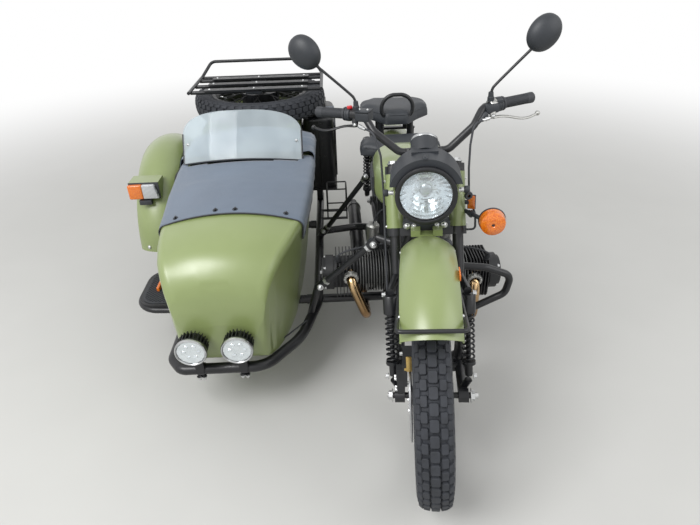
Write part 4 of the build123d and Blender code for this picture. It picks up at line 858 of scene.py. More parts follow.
def past_screen(x):
    """How far the apron runs on: just under the screen's foot, and beside it under the tonneau's hem."""
    beside = min(1.0, max(0.0, (abs(x) - TURN_FROM) / TURN_OVER))
    return UNDER_FOOT + (UNDER_HEM - UNDER_FOOT) * beside


def cover(name, node, front, back, rows, pull, ripple, side_pull):
    """A sheet over the hull. front and back give its ends along Y, at a place across and a height."""
    cover_skin, hull_skin = skin_of(nodes[node]), skin_of(nodes["sidecar_hull"])
    middle_x = place(HULL_X, 0, 0).x
    shape = bmesh.new()
    angles = [6 + 1.6 * i for i in range(SIDE_RAYS)]
    angles += [angles[-1] + (180 - 2 * angles[-1]) * i / TOP_RAYS for i in range(1, TOP_RAYS)]
    angles += [180 - a for a in reversed(angles[:SIDE_RAYS])]
    columns = []
    for a in angles:
        way = Vector((cos(radians(a)), 0, sin(radians(a))))
        middle_y = place(0, (front(0, 810) + back(0, 810)) / 2, 0).y
        probe = Vector((middle_x, middle_y, RAY_FOOT)) + way * RAY_LENGTH
        found = cover_skin.ray_cast(probe, -way)[0]
        if found is None:
            continue
        x, z = found.x / MM - BIKE_X - SCREEN_X, found.z / MM
        column, reach = [], 0.0
        for j in range(rows + 1):
            y = place(0, front(x, z) + (back(x, z) - front(x, z)) * j / rows, 0).y
            outside = Vector((middle_x, y, RAY_FOOT)) + way * RAY_LENGTH
            hit, normal = cover_skin.ray_cast(outside, -way)[:2]
            if hit is None and (reach or abs(x) > BESIDE_SCREEN):
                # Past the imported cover's end the hull carries the sheet, at the same height over it.
                hit, normal = hull_skin.ray_cast(outside, -way)[:2]
                hit = hit and hit + normal * COVER_RISE
                if hit and reach and abs((hit - outside).length - reach) > LARGEST_STEP:
                    hit = None
            if hit is None or hit.z < HEM_HEIGHT:
                column.append(None)
                continue
            reach = (hit - outside).length
            inner_side = min(1.0, max(0.0, (x - 190) / 100))
            fold = noise.noise(Vector((hit.x * 5, hit.y * 9, hit.z * 3))) * pull
            fold += noise.noise(Vector((hit.x * 16, hit.y * 30, hit.z * 9))) * ripple
            side_fold = noise.noise(Vector((hit.y * 14 + hit.z * 9, hit.z * 5, 3.0)))
            fold += abs(side_fold) * side_pull * inner_side
            edge = min(1.0, min(j, rows - j) / 3)
            column.append(shape.verts.new(hit + normal * (CLOTH + fold * edge)))
        columns.append(column)
    for one, two in zip(columns, columns[1:]):
        for j in range(rows):
            corners = (one[j], two[j], two[j + 1], one[j + 1])
            if not all(corners):
                continue
            longest = max((p.co - q.co).length for p, q in zip(corners, corners[1:]))
            if longest < LARGEST_EDGE:
                shape.faces.new(corners)
    flat = sum(face.calc_area() for face in shape.faces)
    hems = {
        "front": [column[0].co.copy() for column in columns if column[0]],
        "back": [column[-1].co.copy() for column in columns if column[-1]],
    }
    for side, order in (("inner", columns), ("outer", columns[::-1])):
        lowest = [next((column[j] for column in order if column[j]), None) for j in range(rows + 1)]
        hems[side] = [vert.co.copy() for vert in lowest if vert]
    made = finish_piece(name, shape, cover_cloth, "machine", crease=180)
    thick = made.modifiers.new("thick", "SOLIDIFY")
    thick.thickness = CLOTH
    thick.offset = 1.0
    print(name, "area", round(flat, 3))
    return made, flat, hems


def hem(name, edge, diameter):
    """The turned hem along one edge of a cover, through every second of its corners and the last."""
    tube(name, edge[::2] + [edge[-1]], diameter, soft_rubber, "machine")


# %% Apron
APRON_FRONT = 551
apron, apron_area, apron_hems = cover(
    "apron_cloth", "apron", lambda x, z: APRON_FRONT, lambda x, z: at_screen(x, z + 8, past_screen(x) - 3),
    rows=44, pull=0.0014, ripple=0.0007, side_pull=0.004,
)
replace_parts(apron, "apron")
for side in ("front", "inner", "outer"):
    hem("apron_hem_" + side, apron_hems[side], 5.5)

# %% Tonneau
TONNEAU_BACK = 1334
tonneau, tonneau_area, tonneau_hems = cover(
    "tonneau_cloth", "tonneau", lambda x, z: at_screen(x, z, 8), lambda x, z: TONNEAU_BACK,
    rows=36, pull=0.005, ripple=0.002, side_pull=0.010,
)
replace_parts(tonneau, "tonneau")
for side in ("back", "inner", "outer"):
    hem("tonneau_hem_" + side, tonneau_hems[side], 5)

# %% [markdown]
# Four turn-buttons hold the apron's hem. Each has an oval eyelet pressed into the cloth, a round
# stud and a short crossbar that turns across it.

# %% Turn-buttons
shape = bmesh.new()
apron_skin = skin_of(apron)
for x in (-905, -752, -678, -490):
    hit, normal = apron_skin.ray_cast(place(x, 575, 1200), Vector((0, 0, -1)))[:2]
    if hit is None:
        continue
    normal = normal if normal.z > 0 else -normal
    turned = Vector((1, 0, 0)).rotation_difference(normal).to_matrix().to_4x4()
    sit = Matrix.Translation(hit) @ turned @ Matrix.Scale(MM, 4)
    lathe(shape, [(1.2, 10), (2.8, 9.4), (2.8, 7), (1.4, 6.4)], 24, sit)
    lathe(shape, [(1.2, 4.4), (6, 4.2), (7.4, 3), (7.8, 0)], 16, sit)
    plate(shape, (2.6, 15, 5), sit @ Matrix.Translation((7, 0, 0)), bevel=1.0)
finish_piece("turn_buttons", shape, black_paint, "machine")

# %% [markdown]
# ## Bolts, nuts and studs
# Most fasteners on such a vehicle are zinc-plated hexagons on washers, with the shank's end a little
# proud of the nut. A hexagon is a lathe with six steps, so one function turns washer, head and
# shank together, and most of the later cells use it.

# %% Fasteners


def steering_point(x, along, ahead):
    """A point given by its distance along the steering axis and its distance ahead of it."""
    return (x, -TRAIL + along * sin(RAKE) - ahead * cos(RAKE), along * cos(RAKE) + ahead * sin(RAKE))


def bolt(shape, at, way, across, on_fork=False, high=0.6, shank=0.0, spin=0.0):
    """A washer and a hexagon of a width across its corners. shank is how far its thread stands proud."""
    r = across / 2
    sit = seat(at, way, on_fork, spin)
    lathe(shape, [(-1, 0), (-1, r * 1.35), (1.2, r * 1.35), (1.6, r * 1.28), (1.6, 0)], 28, sit)
    top = 1.6 + high * across
    lathe(shape, [(1.2, 0), (1.2, r), (top - 1, r), (top, r * 0.86), (top, 0)], 6, sit)
    if shank:
        end = top + shank
        lathe(shape, [(top - 1, r * 0.55), (end - 1, r * 0.55), (end, r * 0.45), (end, 0)], 16, sit)


def dome_bolt(shape, at, way, width, on_fork=False):
    """A round, domed head on a thin washer."""
    r = width / 2
    washer = [(-1, r * 1.3), (1, r * 1.3), (1.4, r * 1.05)]
    head = [(3, r), (3 + r * 0.35, r * 0.8), (3 + r * 0.52, r * 0.45), (3 + r * 0.56, 0)]
    lathe(shape, washer + head, 28, seat(at, way, on_fork))


# %% [markdown]
# ## Windshield
# The screen is one sheet of 4 mm acrylic, bent round a vertical curve and leaning back 30 degrees,
# with its top corners cut as wide arcs. It is drawn as a grid over its width and its height, where
# the height at each place follows a rounded outline, and given its thickness by a modifier. Rubber
# channels guard the straight lower parts of its sides, and a strip with screws holds its foot.

# %% Windshield
SCREEN_HALF, SHOULDER, SCREEN_TOP = 262, 884, 1003
LEAN_SIN, LEAN_COS = 0.5, 0.866


def on_screen(x, z, out=0.0):
    """A point of the screen's front face, x from its middle, moved out along its normal."""
    y = SCREEN_Y + SCREEN_R - sqrt(SCREEN_R ** 2 - x ** 2) + (z - SCREEN_LOW) * (LEAN_SIN / LEAN_COS)
    return (SCREEN_X + x, y - out * LEAN_COS, z + out * LEAN_SIN)


def screen_low(x):
    """The height of the screen's foot, which follows the crown of the hull under it."""
    return SCREEN_LOW + 4 - 38 * (x / SCREEN_HALF) ** 2


def screen_top(x):
    """The height of the screen's outline at a distance from its middle."""
    return SHOULDER + (SCREEN_TOP - SHOULDER) * (1 - min(1.0, abs(x) / SCREEN_HALF) ** 2.4) ** (1 / 2.2)


shape = bmesh.new()
columns, levels = 56, 20
grid = []
for i in range(columns + 1):
    x = SCREEN_HALF * sin(pi / 2 * (2 * i / columns - 1))
    heights = [screen_low(x) + (screen_top(x) - screen_low(x)) * j / levels for j in range(levels + 1)]
    grid.append([shape.verts.new(place(*on_screen(x, z, -4))) for z in heights])
for one, two in zip(grid, grid[1:]):
    for j in range(levels):
        shape.faces.new((one[j], one[j + 1], two[j + 1], two[j]))
screen = finish_piece("windshield_sheet", shape, acrylic, "machine")
thick = screen.modifiers.new("thick", "SOLIDIFY")
thick.thickness = 0.004
thick.offset = 1.0 if screen.data.polygons[0].normal.y < 0 else -1.0
edge = screen.modifiers.new("soft_edge", "BEVEL")
edge.width = 0.0012
edge.segments = 2
edge.limit_method = "ANGLE"
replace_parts(screen, "windshield")

# %% Edge channels and foot strip
for side, name in ((-1, "outer"), (1, "inner")):
    reach = SHOULDER + 14 - screen_low(SCREEN_HALF)
    points = [on_screen(side * SCREEN_HALF, screen_low(SCREEN_HALF) + reach * k / 5, -2) for k in range(6)]
    tube("windshield_channel_" + name, points, 9, soft_rubber, "machine")
foot = [on_screen(x, screen_low(x) + 3, 1.5) for x in range(-256, 257, 32)]
tube("windshield_foot_strip", foot, 7, black_plastic, "machine")
shape = bmesh.new()
for side in (-1, 1):
    dome_bolt(shape, on_screen(side * 240, 862, 0), (side * 0.5, -0.72, 0.45), 10)
finish_piece("windshield_screws", shape, zinc_plate, "machine")
print("the screen is", SCREEN_TOP - SCREEN_LOW, "mm tall")

# %% [markdown]
# ## Grips, levers and switches
# Each grip is a soft sleeve with a flange against the thumb, fine ribs and a closed, rounded
# end. Levers are forged blades with a ball at the tip, for safety: the clutch lever and its perch
# are bare alloy, the brake lever is black and carries the fluid reservoir. A red rocker on the
# right stops the engine. The grip's outline is a smooth tube with a shallow groove every 4 mm.

# %% Grips
grip_shape = [(-113, 13), (-112, 22), (-109, 23), (-106, 22), (-105, 17.2)]
for k in range(20):
    at = -101 + 4 * k
    grip_shape += [(at, 17.2), (at + 1.2, 17.2), (at + 1.7, 16.2), (at + 3, 16.2), (at + 3.5, 17.2)]
grip_shape += [(-18, 17.4), (-2, 18), (3, 17.4), (6, 14.5), (7, 9), (7, 0)]
bar_ends, bar_ways = {}, {}
for side, name in SIDES:
    bar_ends[side] = Vector((side * 357, 564, 1138))
    bar_ways[side] = Vector((side * 163, 73.5, 0)).normalized()
    shape = bmesh.new()
    lathe(shape, grip_shape, 40, seat(bar_ends[side], bar_ways[side], True))
    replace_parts(finish_piece(name + "_grip", shape, soft_rubber, "fork"), "grips")

# %% Levers and switches
AHEAD = Vector((0, -0.743, -0.669))


def blade(shape, points, widths, thick):
    """A forged lever: an oval section along points, with a width and a thickness at each."""
    rings = []
    for i, point in enumerate(points):
        way = (points[min(i + 1, len(points) - 1)] - points[max(i - 1, 0)]).normalized()
        flat = way.cross(Vector((0, 0, 1))).normalized()
        up = way.cross(flat).normalized()
        ring = []
        for k in range(14):
            angle = 2 * pi * k / 14
            spot = point + flat * (widths[i] / 2 * cos(angle)) + up * (thick[i] / 2 * sin(angle))
            ring.append(shape.verts.new(STEER @ place(*spot)))
        rings.append(ring)
    for one, two in zip(rings, rings[1:]):
        for k in range(14):
            shape.faces.new((one[k], one[(k + 1) % 14], two[(k + 1) % 14], two[k]))
    shape.faces.new(rings[0])
    shape.faces.new(rings[-1])


LEVERS = ((-1, "brake", black_paint, "black_paint"), (1, "clutch", bare_alloy, "bare_alloy"))
for side, name, finish, record_slot in LEVERS:
    end, way = bar_ends[side], bar_ways[side]
    perch = end - way * 146
    pivot = perch + AHEAD * 44
    tip = end + way * 18 + AHEAD * 62
    shape = bmesh.new()
    lathe(shape, [(-13, 12.9), (-13, 19), (-11, 20.5), (11, 20.5), (13, 19), (13, 12.9)], 36,
          seat(perch, way, True))
    neck = [perch + AHEAD * 12, perch + AHEAD * 28, pivot - way * 2, pivot + way * 6]
    blade(shape, neck, [22, 22, 20, 14], [15, 13, 15, 10])
    shares = [i / 12 for i in range(12)]
    curve = [
        pivot + (tip - pivot) * t + AHEAD * (9 * sin(pi * t) - 7 * sin(2 * pi * t)) for t in shares
    ]
    blade(shape, curve + [tip], [16, 15, 14, 14, 13, 13, 13, 12, 12, 11, 10, 9, 8], [9, 9] + [8] * 11)
    lathe(shape, [(-8, 0), (-6.4, 5), (-3, 7.6), (0, 8), (3, 7.6), (6.4, 5), (8, 0)], 20,
          seat(tip, way, True))
    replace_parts(finish_piece(name + "_lever", shape, finish, "fork"), "hand_controls")
    shape = bmesh.new()
    dome_bolt(shape, pivot + Vector((0, -2, 5)), (0, -0.3, 1), 11, True)
    bolt(shape, perch + AHEAD * -19 + Vector((0, 0, 4)), (0, 0.6, 0.8), 8, True)
    finish_piece(name + "_lever_bolts", shape, zinc_plate, "fork")

shape = bmesh.new()
housing = [
    (-133, 13), (-133, 21), (-131, 23.2), (-124, 23.6), (-123.4, 22.6), (-122.6, 23.6), (-115, 23.2),
    (-113, 21), (-113, 13),
]
for side in (-1, 1):
    lathe(shape, housing, 40, seat(bar_ends[side], bar_ways[side], True))
reservoir = bar_ends[-1] - bar_ways[-1] * 180 + AHEAD * 4
reservoir_turn = Matrix.Rotation(radians(-24), 4, "Z") @ Matrix.Scale(MM, 4)
for high, size in ((0, (50, 40, 30)), (18.5, (54, 44, 5))):
    at = Matrix.Translation(place(*(reservoir + Vector((0, 0, high)))))
    plate(shape, size, STEER @ at @ reservoir_turn, bevel=4)
horn_button = bar_ends[1] - bar_ways[1] * 123 + Vector((4, -16, 14))
plate(shape, (18, 14, 12), seat(horn_button, (1, 0, 0), True), bevel=3)
plate(shape, (50, 38, 32), seat(bar_ends[1] - bar_ways[1] * 152 + AHEAD * 8, bar_ways[1], True), bevel=8)
boot = [(0, 0), (0, 10), (12, 10.5), (18, 7.5), (42, 5.5), (46, 4), (46, 0)]
lathe(shape, boot, 24, seat(bar_ends[1] - bar_ways[1] * 170 + AHEAD * 26, (-0.66, -0.55, -0.52), True))
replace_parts(finish_piece("switch_housings", shape, black_plastic, "fork"), "hand_controls")

red_plastic, tree, coat, where = material("red_switch_plastic", Roughness=0.35, IOR=1.53)
cloud = add(tree, "TexNoise", Vector=where, Scale=90.0, Detail=1.0)
add(tree, "Mix", COLOURS, to=coat["Base Color"], out=2, _0=cloud, _6="#c01f26", _7="#d8343a")
shape = bmesh.new()
stop_at = bar_ends[-1] - bar_ways[-1] * 128 + Vector((0, -6, 25))
plate(shape, (18, 14, 9), seat(stop_at, (1, 0.3, 0), True), bevel=2.5)
finish_piece("stop_switch", shape, red_plastic, "fork")

shape = bmesh.new()
for x in (-15, 15):
    dome_bolt(shape, reservoir - bar_ways[-1] * x + Vector((0, 0, 20.5)), (0, 0, 1), 6, True)
for at, way in (((-206, 452, 1112), (0.6, -0.5, -0.2)), ((206, 452, 1112), (-0.75, -0.6, 0))):
    lathe(shape, [(-4, 0), (-4, 6.5), (10, 6.5), (12, 5), (24, 5), (25, 3.6), (25, 0)], 20,
          seat(at, way, True))
finish_piece("control_fittings", shape, zinc_plate, "fork")

# %% [markdown]
# ## Mirrors
# A mirror is an egg-shaped moulded shell on a 9 mm stem, narrower towards the stem, with the glass
# set in its rim and a ball joint at its back. The egg is a lathe whose radius changes with the
# angle: a second harmonic stretches it along the stem, a first one narrows its lower end.

# %% Mirrors
MIRROR_SHELL = [
    (3, 0), (3, 46), (0, 48), (0, 50.5), (2, 52.5), (6, 54), (14, 53), (22, 48.5), (29, 42), (35, 32),
    (39.5, 19), (41, 8), (41, 0),
]
mirror_glass, tree, coat, where = material("silvered_mirror_glass", Metallic=1.0, Roughness=0.03)
mist = add(tree, "TexNoise", Vector=where, Scale=20.0, Detail=1.0)
add(tree, "Mix", COLOURS, to=coat["Base Color"], out=2, _0=mist, _6="#cfd4d8", _7="#e8ecee")
for side, name in SIDES:
    head = (side * 366, 524, 1342)
    back = (sin(radians(14 * side)), -cos(radians(14)), 0)
    sit = seat(head, back, True)
    knuckle = Vector((side * 352, 508, 1318))
    stem = knuckle - Vector((side * 222, 500, 1196))
    aim = (sit.inverted().to_3x3() @ (STEER.to_3x3() @ -stem)).normalized()
    toward = atan2(aim.z, aim.y)

    def egg(angle, along):
        turn_by = angle - toward
        return 1 + 0.075 * cos(2 * turn_by) - 0.05 * cos(turn_by)

    shape = bmesh.new()
    lathe(shape, MIRROR_SHELL, 56, sit, wave=egg)
    lathe(shape, [(-16, 0), (-16, 7), (-12, 9), (6, 9), (12, 6), (14, 0)], 20, seat(knuckle, stem, True))
    foot = Vector((side * 218, 500, 1158))
    lathe(shape, [(-4, 0), (-4, 11), (8, 11), (10, 9), (24, 8), (26, 5), (26, 0)], 20,
          seat(foot, (0, 0, 1), True))
    shell = finish_piece(name + "_mirror_shell", shape, black_plastic, "fork")
    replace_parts(shell, "mirrors")
    bend = [(side * 219, 500, 1180), (side * 221, 500, 1190), (side * 228, 500.5, 1203)]
    rod_points = [tuple(foot)] + bend + [tuple(knuckle)]
    tube(name + "_mirror_stem", rod_points, 9, black_paint, "fork", on_fork=True)
    shape = bmesh.new()
    lathe(shape, [(2.4, 0), (2.4, 47), (3.2, 47.5)], 56, sit, wave=egg)
    finish_piece(name + "_mirror_glass", shape, mirror_glass, "fork")
print("mirrors lean", round(degrees(toward)), "degrees in their own plane")

# %% [markdown]
# ## The fork's fittings
# Between the lamp's ears runs a black cross plate with four bolts, which carries the lamp and the
# turn lamp. The lamp tilts on a stud through each ear, with a knob outside. Amber reflectors sit
# on the left ear and on the fender's side, and a small tab crowns the lamp's cowl.

# %% Lamp bracket, studs and knobs
TUBE_X = 103
shape = bmesh.new()
plate(shape, (152, 8, 26), seat((0, 266, 836), (1, 0, 0), True), bevel=2)
for x in (-62, 62):
    plate(shape, (26, 40, 8), seat((x, 284, 840), (1, 0, 0), True), bevel=2)
plate(shape, (16, 30, 7), seat((0, 212, 1085.5), (1, 0, 0), True), bevel=2)
plate(shape, (5, 24, 5), seat((0, 212, 1089), (1, 0, 0), True), bevel=1.5)
for side in (-1, 1):
    lamp_stud = seat((side * 97, 228, 972), (side, 0, 0), True)
    lathe(shape, [(16, 0), (16, 9), (19, 11), (30, 11), (33, 8), (33, 0)], 24, lamp_stud)
lathe(shape, [(0, 5), (0, 11), (3, 13), (9, 13), (12, 11), (12, 5)], 28,
      seat((128, 262, 938), (0.3, -0.95, 0), True))
finish_piece("lamp_bracket", shape, black_plastic, "fork")
shape = bmesh.new()
for x, width in ((-62, 17), (-40, 13), (34, 13), (56, 17)):
    dome_bolt(shape, (x, 262, 836), (0, -1, 0), width, True)
for side in (-1, 1):
    lamp_stud = seat((side * 97, 228, 972), (side, 0, 0), True)
    lathe(shape, [(0, 0), (0, 11), (2, 11), (2, 7), (17, 7), (17, 0)], 24, lamp_stud)
    bolt(shape, (side * 97.5, 340, 952), (side, 0, 0), 13, True)
    bolt(shape, steering_point(side * 36, 881, 34), (0, -0.89, 0.45), 12, True)
    for along in (900, 1050):
        dome_bolt(shape, steering_point(side * (TUBE_X + 27), along, 10), (side, 0, 0), 10, True)
for side in (-1, 1):
    bolt(shape, steering_point(side * TUBE_X, 1106, 10), (0, 0.454, 0.891), 30, True, high=0.3)
bolt(shape, steering_point(0, 1112, 0), (0, 0.454, 0.891), 34, True, high=0.35)
finish_piece("fork_fasteners", shape, zinc_plate, "fork")

# %% Reflectors
shape = bmesh.new()
plate(shape, (23, 6, 46), seat((146, 318, 884), (1, -0.25, 0), True), bevel=2)
plate(shape, (4, 44, 20), seat((84.5, -4, 822), (1, 0, 0), True), bevel=1.5)
finish_piece("fork_reflectors", shape, amber_lens, "fork")
shape = bmesh.new()
plate(shape, (27, 3, 50), seat((146.8, 322, 884), (1, -0.25, 0), True), bevel=1)
plate(shape, (16, 10, 12), seat((133, 322, 884), (1, 0, 0), True), bevel=1)
finish_piece("reflector_backs", shape, black_plastic, "fork")
shape = bmesh.new()
plate(shape, (13, 122, 20), seat((-1108, 800, 313)), bevel=3)
finish_piece("step_reflector", shape, amber_lens, "machine")

# %% [markdown]
# ## Instrument
# The round speedometer faces the rider. Its dial has a bright ring, evenly spaced marks and a
# needle, and no figures or name.

# %% Dial
dial_face, tree, coat, where = material("printed_dial_face", Roughness=0.45, IOR=1.5)
cloud = add(tree, "TexNoise", Vector=where, Scale=40.0, Detail=2.0)
add(tree, "Mix", COLOURS, to=coat["Base Color"], out=2, _0=cloud, _6="#e6e4dc", _7="#efeee8")
dial_at, dial_way = (0, 346, 1086), (0, 0.8, 0.6)
shape = bmesh.new()
lathe(shape, [(0.4, 0), (0.4, 36.5), (0.2, 37)], 48, seat(dial_at, dial_way, True))
finish_piece("dial", shape, dial_face, "fork")
shape = bmesh.new()
lathe(shape, [(-4, 42.4), (1, 43.4), (4, 42.4), (5, 40), (3.4, 37.2), (0.2, 36.6)], 64,
      seat(dial_at, dial_way, True))
finish_piece("dial_ring", shape, disc_steel, "fork")
shape = bmesh.new()
sit = seat(dial_at, dial_way, True)
for k in range(25):
    turn_by = radians(-130 + 260 * k / 24)
    long = 7 if k % 4 == 0 else 4
    spot = sit @ Matrix.Rotation(turn_by, 4, "X") @ Matrix.Translation((1.0, 0, 31))
    plate(shape, (0.8, 1.6 if k % 4 == 0 else 1.0, long), spot, bevel=0.2, segments=1)
needle = sit @ Matrix.Rotation(radians(-128), 4, "X")
plate(shape, (1.0, 2.2, 34), needle @ Matrix.Translation((2.2, 0, 11)), bevel=0.3, segments=1)
lathe(shape, [(1, 5), (4, 5), (4.6, 3.6), (4.6, 0)], 20, sit)
finish_piece("dial_marks", shape, black_plastic, "fork")
shape = bmesh.new()
lathe(shape, [(4.6, 38.5), (6.4, 24), (7.2, 10), (7.4, 0)], 48, sit)
finish_piece("dial_glass", shape, lamp_glass, "fork")

# %% [markdown]
# ## Wheels and brakes
# Each of the 36 spokes ends in a plated nipple at the rim. The axle shows as a bright
# round end and a nut. The caliper has a gold-anodised slide plate and two bolts, and the disc
# carrier is bolted to the hub. The nipples are one short lathe each, placed by the same angles as
# the spokes.

# %% Nipples and axle ends
RIM_WELL_R = 226
SPOKES = 36
nipple = [(0, 2.3), (1, 3.2), (12, 3.2), (15, 5), (18, 5)]
upright = Matrix.Rotation(radians(-90), 4, "Y")
for name, body, hub in WHEELS:
    shape = bmesh.new()
    for i in range(SPOKES):
        side = 1 if i % 2 else -1
        spot = Matrix.Translation((side * 8.5, 0, RIM_WELL_R - 15))
        lathe(shape, nipple, 8, hub @ Matrix.Rotation(2 * pi * i / SPOKES, 4, "X") @ spot @ upright)
    finish_piece(name + "_nipples", shape, zinc_plate, body)

shape = bmesh.new()
bolt(shape, (126.5, 0, TYRE_R), (1, 0, 0), 34, True, high=0.35, shank=2)
lathe(shape, [(0, 9.6), (22, 9.6), (24, 8), (24, 0)], 28, seat((126, 0, TYRE_R), (1, 0, 0), True))
bolt(shape, (-127, 0, TYRE_R), (-1, 0, 0), 32, True, high=0.35, shank=3)
for side in (-1, 1):
    bolt(shape, (side * 129.6, 200, 330), (side, 0, 0), 26, True, high=0.35, shank=3)
    bolt(shape, (side * 138, 34, 400), (side, 0, 0), 15, True)
    bolt(shape, (side * 138, 126, 664), (side, 0, 0), 15, True)
for dy, dz in circle(4, 1, first=45):
    bolt(shape, (-110.2, 9 * dy, 402 + 34 * dz), (-1, 0, 0), 10, True)
for z in (446, 504):
    bolt(shape, (-88, 26, z), (-1, 0, 0), 13, True)
finish_piece("fork_axle_bolts", shape, zinc_plate, "fork")

gold_plate, tree, coat, where = material("gold_anodised_aluminium", Metallic=1.0, Roughness=0.35)
cloud = add(tree, "TexNoise", Vector=where, Scale=50.0, Detail=2.0)
add(tree, "Mix", COLOURS, to=coat["Base Color"], out=2, _0=cloud, _6="#c3a35c", _7="#dcc083")
shape = bmesh.new()
plate(shape, (17, 6, 58), seat((-67, -49, 528), (1, 0, 0), True), bevel=1.5)
plate(shape, (30, 16, 10), seat((-67, -40, 504), (1, 0, 0), True), bevel=1.5)
finish_piece("caliper_slide", shape, gold_plate, "fork")
shape = bmesh.new()
for dz, dy in circle(6, 50):
    bolt(shape, (-69.5, dy, TYRE_R + dz), (-1, 0, 0), 10, True)
finish_piece("disc_bolts", shape, zinc_plate, "front_wheel")

shape = bmesh.new()
bolt(shape, (128, WHEELBASE, TYRE_R), (1, 0, 0), 32, high=0.35, shank=4)
bolt(shape, (-112, WHEELBASE, TYRE_R), (-1, 0, 0), 30, high=0.35, shank=4)
bolt(shape, (-1020, SIDECAR_WHEEL[1], TYRE_R), (1, 0, 0), 30, high=0.35, shank=4)
finish_piece("rear_axle_nuts", shape, zinc_plate, "machine")

# %% [markdown]
# ## Engine
# The flat twin's black barrels carry fins, and a pale metal ring on each fin's rim is a painted
# highlight along its edge. Each head has a cover held by bolts, a spark plug with a rubber boot
# and a lead. Small parts like these are what makes an engine read as a machine and not as a
# block.

# %% Barrels and heads
CASE_HALF, CYLINDER_Z, FIN_R, FIN_PITCH, FINS = 66, 440, 84, 11, 13
CYLINDERS = {-1: (628, 368), 1: (594, 352)}
rims = bmesh.new()
heads = bmesh.new()
boots = bmesh.new()
for side, (y, reach) in CYLINDERS.items():
    # A pale metal ring on every fin's rim: a painted highlight along its edge.
    for i in range(FINS):
        x = side * (CASE_HALF + 14 + i * FIN_PITCH + 1.5)
        edge = [(-1.9, 81), (-1.7, FIN_R + 0.5), (1.7, FIN_R + 0.5), (1.9, 81)]
        lathe(rims, edge, 72, seat((x, y, CYLINDER_Z), (1, 0, 0)))
    for dy, dz in circle(4, 64, first=45):
        bolt(heads, (side * (reach - 14), y + dy, CYLINDER_Z + dz), (side, 0, 0), 13, high=0.5)
    lathe(heads, [(0, 30), (2, 30), (2.6, 28), (2.6, 0)], 48,
          seat((side * reach, y, CYLINDER_Z), (side, 0, 0)))
    bolt(heads, (side * (reach + 2), y, CYLINDER_Z), (side, 0, 0), 15, high=0.5)
    plug = (side * (reach - 70), y - 52, CYLINDER_Z + 80)
    slant = (side * 0.1, -0.55, 0.83)
    lathe(boots, [(0, 0), (0, 9), (18, 9), (20, 11.5), (46, 10), (50, 7), (56, 5), (56, 0)], 24,
          seat(plug, slant))
    top = Vector(plug) + Vector(slant) * 54
    lead = [tuple(top), tuple(top + Vector((-side * 20, -8, 26)))]
    lead += [(side * 120, y - 40, 590), (side * 60, y - 20, 582), (side * 40, y, 556)]
    tube(SIDE_NAMES[side] + "_plug_lead", lead, 7.5, soft_rubber, "machine")
finish_piece("fin_rims", rims, fin_edge, "machine")
finish_piece("head_bolts", heads, zinc_plate, "machine")
finish_piece("plug_boots", boots, soft_rubber, "machine")

# %% Crankcase details
shape = bmesh.new()
cover_shape = [(-2, 61), (2, 61.5), (5, 58), (5, 40), (8, 37), (8, 14), (5, 12), (5, 0)]
lathe(shape, cover_shape, 72, seat((0, 486, 446), (0, -1, 0)))
for z, size in ((300, (150, 180, 8)), (540, (96, 150, 8))):
    plate(shape, size, seat((0, 620, z)), bevel=3)
for y in (724, 900):
    plate(shape, (132, 8, 236), seat((0, y, 401)), bevel=3)
plate(shape, (60, 90, 30), seat((0, 812, 520)), bevel=8)
for x in (-52, -26, 0, 26, 52):
    plate(shape, (5, 190, 12), seat((x, 618, 254)), bevel=2)
finish_piece("case_covers", shape, engine_black, "machine")
shape = bmesh.new()
for dx, dz in circle(8, 53):
    bolt(shape, (dx, 483, 446 + dz), (0, -1, 0), 10)
for side in (-1, 1):
    for y, z in ((540, 300), (700, 300), (540, 520), (700, 520)):
        bolt(shape, (side * CASE_HALF, y, z), (side, 0, 0), 13)
    for y, z in ((760, 320), (860, 320), (760, 480), (860, 480)):
        bolt(shape, (side * 62, y, z), (side, 0, 0), 12)
lathe(shape, [(0, 0), (0, 17), (8, 17), (11, 14), (11, 0)], 24, seat((CASE_HALF, 560, 350)))
finish_piece("case_bolts", shape, zinc_plate, "machine")

# %% [markdown]
# ## Carburettors and intake
# A constant-vacuum carburettor has a domed top, a float bowl held by screws and rubber sleeves at both
# its ends. The cable comes in at the side.

# %% Carburettors
bowls = bmesh.new()
sleeves = bmesh.new()
for side, (barrel_y, _) in CYLINDERS.items():
    x, y = side * 150, barrel_y + 100
    lathe(bowls, [(-6, 0), (-6, 20), (0, 27), (6, 27.5), (9, 27), (9, 26)], 40, seat((x, y, 600), (0, 0, -1)))
    lathe(bowls, [(0, 0), (0, 20), (3, 24), (26, 27), (30, 27), (30, 26)], 40, seat((x, y, 466), (0, 0, 1)))
    for dx, dy in circle(4, 21, first=45):
        dome_bolt(bowls, (x + dx, y + dy, 603), (0, 0, 1), 6)
    way = (0, 0.914, 0.406)
    for at, long in (((x, y - 40, 520), 26), ((x, y + 32, 552), 30)):
        lathe(sleeves, [(-4, 22), (-4, 25.5), (2, 26.5), (long - 4, 26.5), (long, 25), (long, 22)], 36,
              seat(at, way))
    tube(
        SIDE_NAMES[side] + "_throttle_cable",
        [
            (x, y, 604), (x * 0.9, y - 10, 660), (side * 96, y - 120, 740), (side * 76, 520, 800),
            (side * 70, 450, 860),
        ],
        6, soft_rubber, "machine",
    )
finish_piece("carburettor_caps", bowls, bare_alloy, "machine")
finish_piece("intake_sleeves", sleeves, soft_rubber, "machine")

# %% [markdown]
# ## Exhaust
# Finned nuts clamp the headers to the heads, and band clamps with one bolt join them to the
# silencers. The fins of the nut give a spanner its hold, so they are real notches: a lathe whose
# radius steps in and out around it.

